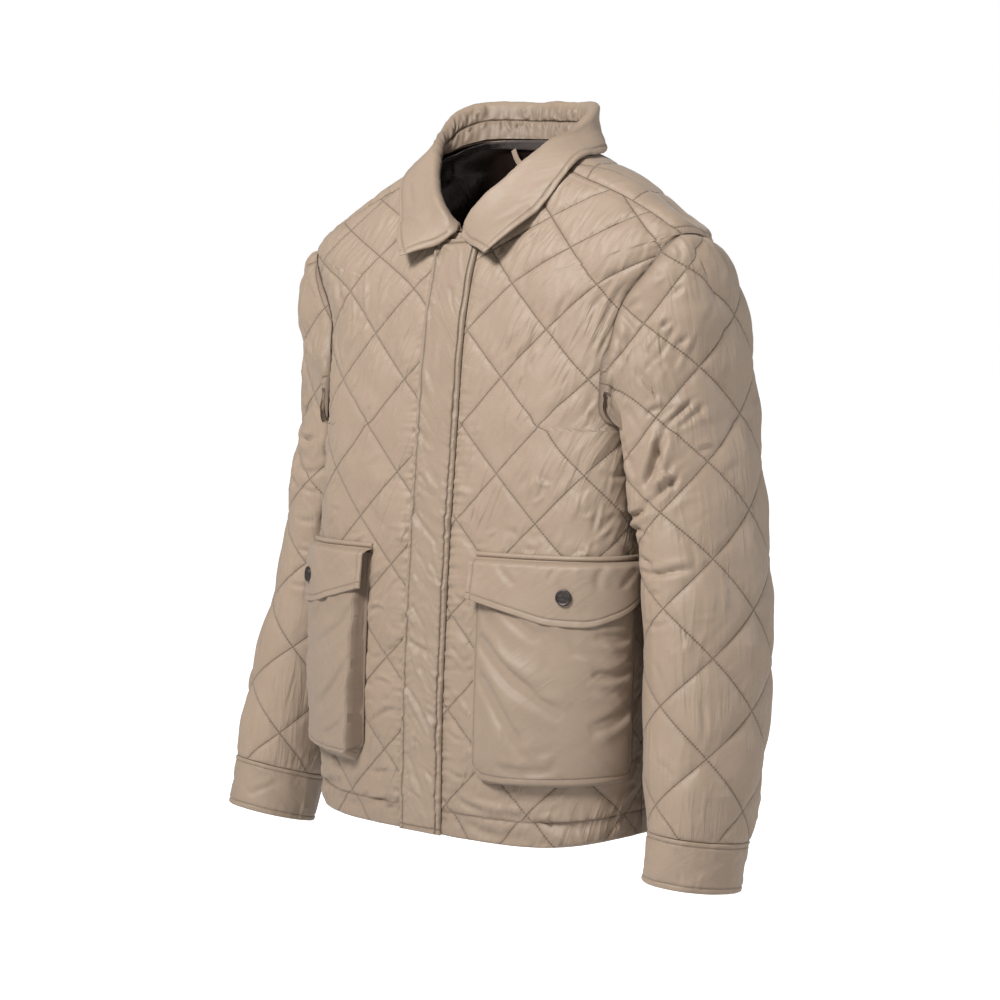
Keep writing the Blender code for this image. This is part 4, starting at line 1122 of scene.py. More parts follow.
def thread_material(name):
    n = Nodes(name)
    where = n.add("TexCoord").outputs["Object"]
    twist = n.noise(where, 1500.0, 1.0)
    n.put(n.shader, "Base Color", n.mix(n.ramp(twist, 0.3, 0.7), rgb((CLOTH[0] * 0.72, CLOTH[1] * 0.68, CLOTH[2] * 0.64)), rgb(CLOTH, 0.95)))
    n.put(n.shader, "Roughness", n.ramp(twist, 0.2, 0.8, 0.48, 0.62, "LINEAR"))
    return n.mat


LINING_MAT = lining_material("dark_lining")
TAPE_MAT = tape_material("neck_tape")
METAL_MAT = metal_material("gunmetal")
THREAD_MAT = thread_material("thread")
PLAIN_MAT = cloth_material("plain_nylon", None, CLOTH, 0.54, 0.55, lean=40.0, streak=0.22, crisp=0.12, thread=(0.20, 0.05))
# the fly's nylon is the same cloth drawn 7% darker, as painted shade
FLY_MAT = cloth_material("fly_nylon", None, (CLOTH[0] * 0.93, CLOTH[1] * 0.93, CLOTH[2] * 0.93), 0.54, 0.8, lean=-52.0, streak=0.6, crisp=0.40, thread=(0.46, 0.20))
LEAN = {"front_left": 68.0, "front_right": 112.0, "back": 88.0, "sleeve_left": 92.0, "sleeve_right": 88.0}
CRISP = {"front_left": 0.55, "front_right": 0.55, "back": 0.45, "sleeve_left": 0.55, "sleeve_right": 0.55}
QUILT_MAT = {k: cloth_material("quilted_nylon_" + k, q, lean=LEAN[k], crisp=CRISP[k]) for k, q in QUILT.items()}


# ---- meshes ----------------------------------------------------------------------------
def mesh_from(name, points, faces, uvs=None, marks=None, materials=(), sharp=60.0):
    """faces: list of (index array n x k, material); uvs: {layer: corner values in the same order}."""
    mesh = bpy.data.meshes.new(name)
    loops = np.concatenate([f.ravel() for f, _ in faces])
    totals = np.concatenate([np.full(len(f), f.shape[1]) for f, _ in faces])
    starts = np.concatenate([[0], np.cumsum(totals)[:-1]])
    mesh.vertices.add(len(points))
    mesh.vertices.foreach_set("co", np.ascontiguousarray(points, np.float32).ravel())
    mesh.loops.add(len(loops))
    mesh.loops.foreach_set("vertex_index", loops.astype(np.int32))
    mesh.polygons.add(len(totals))
    mesh.polygons.foreach_set("loop_start", starts.astype(np.int32))
    mesh.polygons.foreach_set("loop_total", totals.astype(np.int32))
    mesh.polygons.foreach_set("material_index", np.concatenate([np.full(len(f), m) for f, m in faces]).astype(np.int32))
    mesh.update(calc_edges=True)
    for layer, values in (uvs or {}).items():
        uv = mesh.uv_layers.new(name=layer)
        uv.data.foreach_set("uv", np.ascontiguousarray(values, np.float32).ravel())
    mesh.polygons.foreach_set("use_smooth", np.ones(len(totals), bool))
    if sharp:
        mesh.set_sharp_from_angle(angle=math.radians(sharp))
    for m in materials:
        mesh.materials.append(m)
    mesh.validate()
    obj = bpy.data.objects.new(name, mesh)
    bpy.context.scene.collection.objects.link(obj)
    return obj


def shell(name, outer, inner, maps, material, back_material=None, tube=False, flip=False, keep=4, extra=None, shade=0.0, cloth_rows=0):
    """A closed wall: a fine outer grid, an inner grid that keeps some of its rows and columns, and a rim between.

    maps: {layer: (rows, columns, 2)}; on a tube these hold one more column than the points do.
    """
    R, C = outer.shape[:2]
    if "SewAndShade" not in maps:
        maps = dict(maps, SewAndShade=np.ones((R, C)))
    # the second channel of the sewing map is painted shade, 0 none to 1 darkest
    sew = np.stack([maps["SewAndShade"], np.clip(shade + 0 * maps["SewAndShade"], 0, 1)], -1)
    maps = dict(maps, SewAndShade=np.concatenate([sew, sew[:, :1]], 1) if tube else sew)
    rows, cols = some(R, keep), some(C + 1 if tube else C, keep)
    inner_cols = cols[:-1] if tube else cols
    A = np.arange(R * C).reshape(R, C)
    if tube:
        A = np.concatenate([A, A[:, :1]], axis=1)
    W = A.shape[1]
    sub = inner[np.ix_(rows, inner_cols)]
    B = R * C + np.arange(sub.shape[0] * sub.shape[1]).reshape(sub.shape[:2])
    if tube:
        B = np.concatenate([B, B[:, :1]], axis=1)
    points = np.concatenate([outer.reshape(-1, 3), sub.reshape(-1, 3)])
    full = {k: v.reshape(-1, 2) for k, v in maps.items()}
    coarse = {k: v[np.ix_(rows, cols)].reshape(-1, 2) for k, v in maps.items()}
    AI = np.arange(R * W).reshape(R, W)
    BI = np.arange(len(rows) * len(cols)).reshape(len(rows), len(cols))
    faces, corners = [], {k: [] for k in maps}

    def add(index, lookup, material_index):
        # index: vertex numbers; lookup: (from outer?, map index) for the corners
        if flip:
            index, lookup = index[:, ::-1], lookup[:, ::-1]
        faces.append((index, material_index))
        for k in maps:
            both = np.concatenate([full[k], coarse[k]])
            corners[k].append(both[lookup].reshape(-1, 2))

    def quads(T, I, shift, turn):
        idx = np.stack([T[:-1, :-1], T[:-1, 1:], T[1:, 1:], T[1:, :-1]], -1).reshape(-1, 4)
        lk = np.stack([I[:-1, :-1], I[:-1, 1:], I[1:, 1:], I[1:, :-1]], -1).reshape(-1, 4) + shift
        return (idx[:, ::-1], lk[:, ::-1]) if turn else (idx, lk)

    add(*quads(A, AI, 0, False), 0)
    back = 1 if back_material else 0
    inside, look = quads(B, BI, R * W, True)
    cut = cloth_rows * (B.shape[1] - 1)
    if cut:
        add(inside[:cut], look[:cut], 0)
    add(inside[cut:], look[cut:], back)

    def rim_faces(oa, oi, ba, bi, marks, turn):
        """Along one side: fine points oa, coarse ones ba at marks."""
        for k in range(len(marks) - 1):
            a, b = marks[k], marks[k + 1]
            idx = np.concatenate([oa[a:b + 1], [ba[k + 1], ba[k]]])[None]
            lk = np.concatenate([oi[a:b + 1], [bi[k + 1] + R * W, bi[k] + R * W]])[None]
            if turn:
                idx, lk = idx[:, ::-1], lk[:, ::-1]
            add(idx, lk, 0)

    rim_faces(A[0], AI[0], B[0], BI[0], cols, True)
    rim_faces(A[-1], AI[-1], B[-1], BI[-1], cols, False)
    if not tube:
        rim_faces(A[:, 0], AI[:, 0], B[:, 0], BI[:, 0], rows, False)
        rim_faces(A[:, -1], AI[:, -1], B[:, -1], BI[:, -1], rows, True)
    if extra is not None:
        more, quads_more = extra
        faces.append((quads_more + len(points), 0))
        points = np.concatenate([points, more])
        for k in maps:
            # the seam strip gets painted shade 0.72 in the sewing map's second channel, dark brown where it lies in
            # shade; the other maps take the same fixed values
            corners[k].append(np.tile([0.25, 0.72], (quads_more.size, 1)))
    uvs = {k: np.concatenate(v) for k, v in corners.items()}
    return mesh_from(name, points, faces, uvs, None, [material] + ([back_material] if back_material else []))


def ribbon(rings):
    """A closed band: rings of points, one ring at each place along a closed line."""
    n, sides = rings.shape[:2]
    idx = np.arange(n * sides).reshape(n, sides)
    nxt, up = np.roll(idx, -1, axis=0), np.roll(idx, -1, axis=1)
    both = np.roll(nxt, -1, axis=1)
    quads = np.stack([idx, nxt, both, up], -1).reshape(-1, 4)
    pts = rings.reshape(-1, 3)
    # faces turn outwards: signed volume is positive
    a, b, c, d = (pts[quads[:, k]] for k in range(4))
    vol = np.sum(a * np.cross(b, c)) + np.sum(a * np.cross(c, d))
    return pts, quads if vol > 0 else quads[:, ::-1]


def lowest(v, reach, around=True):
    """The least value within reach cells on each side."""
    out = v.copy()
    for k in range(-reach, reach + 1):
        out = np.minimum(out, np.roll(v, k, axis=1))
    down = out.copy()
    for k in range(1, reach + 1):
        down[k:] = np.minimum(down[k:], out[:-k])
        down[:-k] = np.minimum(down[:-k], out[k:])
    return down


def flat_area(X, Y):
    """Area of a grid laid out flat."""
    def cross(ax, ay, bx, by):
        return ax * by - ay * bx
    d1x, d1y = X[1:, 1:] - X[:-1, :-1], Y[1:, 1:] - Y[:-1, :-1]
    d2x, d2y = X[1:, :-1] - X[:-1, 1:], Y[1:, :-1] - Y[:-1, 1:]
    return float(np.abs(cross(d1x, d1y, d2x, d2y)).sum() / 2)


CUTS = {}


def declare(obj, nodes, X=None, Y=None, size=None, area=None):
    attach(obj, "root")
    if nodes:
        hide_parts(*nodes)
    if X is not None:
        w, l = float(X.max() - X.min()), float(Y.max() - Y.min())
        area = flat_area(X, Y)
        size = (max(w, 0.0101), max(l, 0.0101))
        area = min(area, size[0] * size[1])
    if size is not None:
        CUTS[obj.name] = (round(size[0], 4), round(size[1], 4), round(area or size[0] * size[1], 5))


# ---- stitches --------------------------------------------------------------------------
def stitch_mesh(name, at, along, out, half=0.00122, wide=0.00027, high=0.00022):
    """One small spindle for each stitch, joined in one mesh."""
    if not len(at):
        return None
    along = unit(along)
    side = unit(np.cross(out, along))
    out = np.cross(along, side)
    pts = np.stack([at + along * half, at - along * half, at + side * wide, at - side * wide, at + out * high, at - out * high], 1).reshape(-1, 3)
    tri = np.array([(0, 2, 4), (2, 1, 4), (1, 3, 4), (3, 0, 4), (2, 0, 5), (1, 2, 5), (3, 1, 5), (0, 3, 5)])
    faces = (np.arange(len(at))[:, None, None] * 6 + tri[None]).reshape(-1, 3)
    obj = mesh_from(name, pts, [(faces, 0)], materials=[THREAD_MAT], sharp=None)
    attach(obj, "root")
    return obj


PITCH = 0.0031


def lattice_stitches(P, N, p, r, step, allowed):
    """Places on the grid where a stitch of the lines p = whole number lies: marching over the cells."""
    P00, P01, P11, P10 = P[:-1, :-1], P[:-1, 1:], P[1:, 1:], P[1:, :-1]
    k = np.round((p[:-1, :-1] + p[1:, 1:]) / 2)
    v = [c - k for c in (p[:-1, :-1], p[:-1, 1:], p[1:, 1:], p[1:, :-1])]
    lo, hi = np.minimum.reduce(v), np.maximum.reduce(v)
    cell = (lo < 0) & (hi >= 0) & allowed[:-1, :-1] & allowed[1:, 1:]
    i, j = np.nonzero(cell)
    if not len(i):
        return np.zeros((0, 3)), np.zeros((0, 3)), np.zeros((0, 3))
    corner = [(0, 0), (0, 1), (1, 1), (1, 0)]
    val = np.stack([x[i, j] for x in v], 1)
    pos = np.stack([P[i + a, j + b] for a, b in corner], 1)
    rr = np.stack([r[i + a, j + b] for a, b in corner], 1)
    ends, rs, found = np.zeros((len(i), 2, 3)), np.zeros((len(i), 2)), np.zeros(len(i), int)
    for e in range(4):
        f = (e + 1) % 4
        hit = ((val[:, e] < 0) != (val[:, f] < 0)) & (found < 2)
        s = val[:, e] / np.where(val[:, e] == val[:, f], 1, val[:, e] - val[:, f])
        w = np.nonzero(hit)[0]
        ends[w, found[w]] = pos[w, e] + (pos[w, f] - pos[w, e]) * s[w, None]
        rs[w, found[w]] = rr[w, e] + (rr[w, f] - rr[w, e]) * s[w]
        found[w] += 1
    ok = found == 2
    i, j, ends, rs = i[ok], j[ok], ends[ok], rs[ok] * step / PITCH
    first = np.ceil(np.minimum(rs[:, 0], rs[:, 1]))
    got = first < np.maximum(rs[:, 0], rs[:, 1])
    i, j, ends, rs, first = i[got], j[got], ends[got], rs[got], first[got]
    s = ((first - rs[:, 0]) / (rs[:, 1] - rs[:, 0]))[:, None]
    return ends[:, 0] + (ends[:, 1] - ends[:, 0]) * s, ends[:, 1] - ends[:, 0], N[i, j]


def row_stitches(line, normal, pitch=PITCH, closed=False):
    """Stitches along a chain of points."""
    if closed:
        line, normal = np.concatenate([line, line[:1]]), np.concatenate([normal, normal[:1]])
    s = np.concatenate([[0], np.cumsum(np.linalg.norm(np.diff(line, axis=0), axis=1))])
    at = np.arange(pitch / 2, s[-1], pitch)
    pos = np.stack([np.interp(at, s, line[:, c]) for c in range(3)], 1)
    nor = np.stack([np.interp(at, s, normal[:, c]) for c in range(3)], 1)
    ahead = np.stack([np.interp(at + 0.0005, s, line[:, c]) - np.interp(at - 0.0005, s, line[:, c]) for c in range(3)], 1)
    return pos, ahead, unit(nor)


def joined(sets):
    return tuple(np.concatenate(x) for x in zip(*sets))


# ---- quilted trunk ---------------------------------------------------------------------
def window(v, lo, hi, soft):
    return smooth((v - lo) / soft + 0.5) * smooth((hi - v) / soft + 0.5)


FRONT_STEP, BACK_STEP, SLEEVE_STEP = 0.00178, 0.0023, 0.0021

# folds listed one by one, in cloth coordinates of each panel: end, middle, end, half width, height
FRONT_CREASES = {
    "left": [
        (0.196, -0.118, 0.186, -0.135, 0.170, -0.160, 0.0034, -0.0018),
        (0.150, -0.140, 0.141, -0.160, 0.137, -0.186, 0.0036, -0.0022),
        (0.118, -0.178, 0.110, -0.200, 0.108, -0.225, 0.0036, -0.0018),
        (0.205, -0.150, 0.196, -0.178, 0.192, -0.205, 0.0030, 0.0012),
        (0.215, -0.245, 0.195, -0.255, 0.178, -0.252, 0.0030, -0.0013),
        (0.228, -0.300, 0.205, -0.312, 0.186, -0.308, 0.0032, -0.0014),
        (0.231, -0.352, 0.210, -0.345, 0.190, -0.350, 0.0030, 0.0012),
        (0.036, -0.372, 0.048, -0.378, 0.060, -0.390, 0.0022, -0.0011),
        (0.033, -0.478, 0.045, -0.486, 0.058, -0.500, 0.0024, -0.0014),
        (0.034, -0.560, 0.044, -0.566, 0.056, -0.568, 0.0022, -0.0016),
        (0.034, -0.425, 0.046, -0.436, 0.060, -0.440, 0.0026, -0.0018),
        (0.036, -0.520, 0.048, -0.530, 0.062, -0.545, 0.0026, 0.0016),
        (0.036, -0.598, 0.050, -0.604, 0.064, -0.600, 0.0026, -0.0018),
        (0.040, -0.640, 0.085, -0.652, 0.130, -0.650, 0.0040, -0.0024),
        (0.100, -0.628, 0.150, -0.640, 0.205, -0.636, 0.0042, -0.0028),
        (0.060, -0.622, 0.100, -0.628, 0.150, -0.622, 0.0035, 0.0018),
        (0.150, -0.654, 0.185, -0.657, 0.222, -0.646, 0.0036, -0.0022),
        (0.040, -0.618, 0.056, -0.628, 0.080, -0.632, 0.0030, -0.0018),
    ],
    "right": [
        (0.186, -0.105, 0.170, -0.130, 0.163, -0.160, 0.0034, -0.0018),
        (0.150, -0.120, 0.140, -0.150, 0.137, -0.180, 0.0028, 0.0014),
        (0.128, -0.110, 0.120, -0.145, 0.116, -0.185, 0.0026, 0.0014),
        (0.170, -0.185, 0.160, -0.205, 0.150, -0.215, 0.0034, -0.0020),
        (0.205, -0.250, 0.190, -0.262, 0.172, -0.258, 0.0034, -0.0016),
        (0.210, -0.330, 0.196, -0.345, 0.180, -0.338, 0.0032, -0.0014),
        (0.034, -0.330, 0.046, -0.322, 0.058, -0.325, 0.0022, -0.0012),
        (0.034, -0.420, 0.046, -0.425, 0.056, -0.440, 0.0022, -0.0016),
        (0.036, -0.480, 0.050, -0.492, 0.072, -0.500, 0.0028, -0.0020),
        (0.036, -0.548, 0.052, -0.552, 0.074, -0.566, 0.0028, -0.0018),
        (0.036, -0.600, 0.056, -0.612, 0.078, -0.610, 0.0030, -0.0018),
        (0.050, -0.636, 0.090, -0.648, 0.140, -0.642, 0.0040, -0.0024),
        (0.110, -0.628, 0.150, -0.634, 0.200, -0.640, 0.0038, -0.0022),
        (0.150, -0.650, 0.186, -0.656, 0.222, -0.648, 0.0036, -0.0020),
    ],
}


def build_front(side):
    g = front_panel(FRONT_STEP)
    P, N = g["P"], g["N"]
    R, C = P.shape[:2]
    X, Y = lay_out(g, 12 / FINE)
    down = run_down(P)
    hem, top = down, down[-1:] - down
    seam = np.minimum(g["edge"], np.minimum(np.maximum(g["a"] - 0.0275, 0), top + 0.002))
    name = "front_" + side
    pocket = POCKET[side]
    under = window(g["a"], pocket["start"] + 0.004, pocket["start"] + pocket["width"] - 0.004, 0.006) * window(P[..., 2], pocket["foot"] + 0.012, FLAP_TOP - 0.002, 0.006)
    fly = smooth((PLACKET_HALF - g["a"]) / 0.0012 + 0.5)
    flat = np.maximum(under, fly)
    close = window(np.degrees(g["th"]), -62, 30, 14) * smooth((-0.215 - P[..., 2]) / 0.03)
    h, p, r, body = quilted(name, X, Y, seam, hem=hem, low=close, flat=flat, seed=3 if side == "left" else 8)
    lean = 68.0 if side == "left" else 112.0
    chest = lambda x, y: 0.25 + 0.75 * float(smooth((y + 0.40) / 0.12))
    s = streaks(X, Y, 11 if side == "left" else 12, 420, lean, 16.0, 0.052, 0.0018, 0.00120, chest)
    s += streaks(X, Y, 21 if side == "left" else 22, 150, lean + 4, 40.0, 0.034, 0.0030, 0.00120)
    s += 1.30 * creases(X, Y, FRONT_CREASES[side])
    lower = lambda x, y: 0.9 * float(smooth((-0.30 - y) / 0.08))
    s += streaks(X, Y, 23 if side == "left" else 24, 300, 20.0 if side == "left" else 160.0, 55.0, 0.026, 0.0027, 0.00190, lower)
    h = h + s * (0.25 + 0.75 * body) * (1 - flat)
    # beside the fly the panel is pulled by its seam
    beside = g["a"] - PLACKET_HALF
    h += (1 - flat) * 0.00165 * ripple(Y, 5.0 if side == "left" else 6.0, (0.0075, 0.012, 0.023)) * np.exp(-np.maximum(beside, 0) / 0.010) * smooth((-0.24 - Y) / 0.10 + 0.45)
    off = (WALL + h) * rim(hem, 0.0030)
    drop = 0.0010 * np.exp(-g["edge"] / 0.010) * smooth((P[..., 2] + 0.120) / 0.05)
    off = np.maximum(off, 0.0004) - drop
    outer, inner = P + N * off[..., None], P - N * drop[..., None]
    if side == "right":
        outer, inner, N = mirrored(outer), mirrored(inner), mirrored(N)
        follow = smooth((g["t"] - 0.962) / 0.028)
        outer, inner = raised(outer, follow), raised(inner, follow)
    maps = {"Cloth": np.stack([X, Y], -1), "Lattice": np.stack([p, r], -1), "SewAndShade": np.minimum(np.abs(hem - HEM_LINE), g["edge"] + 0.0003)}
    # painted shade: darker lower down, towards the hem, and beside the side edge low under the arm
    shade = 0.07 * smooth((-0.26 - P[..., 2]) / 0.3) + 0.09 * smooth((0.060 - hem) / 0.05) + 0.20 * np.exp(-g["edge"] / 0.014) * smooth((-0.22 - P[..., 2]) / 0.05)
    obj = shell("quilted_" + name, outer, inner, maps, QUILT_MAT[name], LINING_MAT, flip=side == "right", shade=shade)
    declare(obj, [name], X, Y)
    q = QUILT[name]
    step = math.hypot(q["a"], q["b"])
    free = (g["a"] > PLACKET_HALF + 0.0012) & (g["edge"] > 0.0015) & (hem > 0.002) & (under < 0.4) & (top > 0.03)
    sets = [lattice_stitches(outer, N, p, r, step, free), lattice_stitches(outer, N, r, p, step, free)]
    k = int(np.argmin(np.abs(hem[:, -1] - HEM_LINE)))
    m = g["a"][k] > PLACKET_HALF
    sets.append(row_stitches(outer[k][m], N[k][m]))
    stitch_mesh("quilt_stitches_" + name, *joined(sets))
    return outer


def shoulder_hollow(P, seam_edge):
    """Behind the shoulder seam the cloth runs straight down to the sleeve's head."""
    hollow = 0.0095 * np.exp(-(((P[..., 2] + 0.068) / 0.016) ** 2)) + 0.0022 * np.exp(-(((P[..., 2] + 0.048) / 0.030) ** 2))
    return hollow * smooth(seam_edge / 0.038) * smooth((0.130 - seam_edge) / 0.055) * smooth((np.abs(P[..., 0]) - 0.085) / 0.04)


def build_back():
    g = back_panel(BACK_STEP)
    P, N = g["P"], g["N"]
    X, Y = lay_out(g, 12 / FINE)
    X = X - X[:, :1]

    def both(v, sign=1):
        m = v * np.array([-1.0, 1.0, 1.0]) if v.ndim == 3 else v * sign
        return np.concatenate([v[:, ::-1], m[:, 1:]], axis=1)

    down = run_down(P)
    P, N, seam_edge, X, Y, hem, th = both(P), both(N), both(g["edge"]), both(X, -1), both(Y), both(down), both(g["th"])
    top = both(down[-1:] - down)
    seam = np.minimum(seam_edge, top + 0.002)
    close = window(np.degrees(th), -20, 62, 16) * smooth((-0.215 - P[..., 2]) / 0.03)
    h, p, r, body = quilted("back", X, Y, seam, hem=hem, low=close, seed=5)
    high = lambda x, y: 0.35 + 0.65 * float(smooth((y + 0.30) / 0.15))
    s = streaks(X, Y, 31, 420, 90.0, 20.0, 0.050, 0.0021, 0.00060, high)
    s += streaks(X, Y, 32, 200, 84.0, 45.0, 0.036, 0.0034, 0.00075)
    s += creases(X, Y, BACK_CREASES)
    h = h + s * (0.25 + 0.75 * body)
    off = (WALL + h) * rim(hem, 0.0030)
    drop = shoulder_hollow(P, seam_edge)
    drop = drop + 0.0010 * np.exp(-seam_edge / 0.010) * smooth((P[..., 2] + 0.120) / 0.05)
    off = np.maximum(off, 0.0004) - drop
    follow = smooth((both(g["t"]) - 0.962) / 0.028)
    outer, inner = raised(P + N * off[..., None], follow), raised(P - N * drop[..., None], follow)
    maps = {"Cloth": np.stack([X, Y], -1), "Lattice": np.stack([p, r], -1), "SewAndShade": np.minimum(np.abs(hem - HEM_LINE), seam_edge + 0.0003)}
    obj = shell("quilted_back", outer, inner, maps, QUILT_MAT["back"], LINING_MAT)
    declare(obj, ["back"], X, Y)
    q = QUILT["back"]
    step = math.hypot(q["a"], q["b"])
    free = (seam_edge > 0.0015) & (hem > 0.002) & (top > 0.006)
    sets = [lattice_stitches(outer, N, p, r, step, free), lattice_stitches(outer, N, r, p, step, free)]
    k = int(np.argmin(np.abs(hem[:, -1] - HEM_LINE)))
    sets.append(row_stitches(outer[k], N[k]))
    stitch_mesh("quilt_stitches_back", *joined(sets))
    return outer


BACK_CREASES = [
    (0.200, -0.060, 0.188, -0.090, 0.182, -0.125, 0.0036, -0.0018),
    (-0.196, -0.066, -0.186, -0.098, -0.184, -0.130, 0.0036, -0.0019),
    (0.150, -0.095, 0.141, -0.120, 0.139, -0.150, 0.0030, 0.0013),
    (-0.140, -0.082, -0.133, -0.112, -0.130, -0.140, 0.0030, 0.0012),
    (0.232, -0.230, 0.205, -0.246, 0.180, -0.240, 0.0036, -0.0018),
    (-0.234, -0.222, -0.208, -0.240, -0.182, -0.236, 0.0036, -0.0018),
    (0.238, -0.330, 0.215, -0.342, 0.190, -0.336, 0.0034, -0.0015),
    (-0.240, -0.338, -0.214, -0.352, -0.188, -0.344, 0.0034, -0.0015),
    (0.060, -0.300, 0.052, -0.330, 0.050, -0.365, 0.0036, -0.0012),
    (-0.075, -0.360, -0.066, -0.390, -0.064, -0.420, 0.0036, -0.0012),
    (0.020, -0.150, 0.012, -0.180, 0.012, -0.210, 0.0030, 0.0010),
]

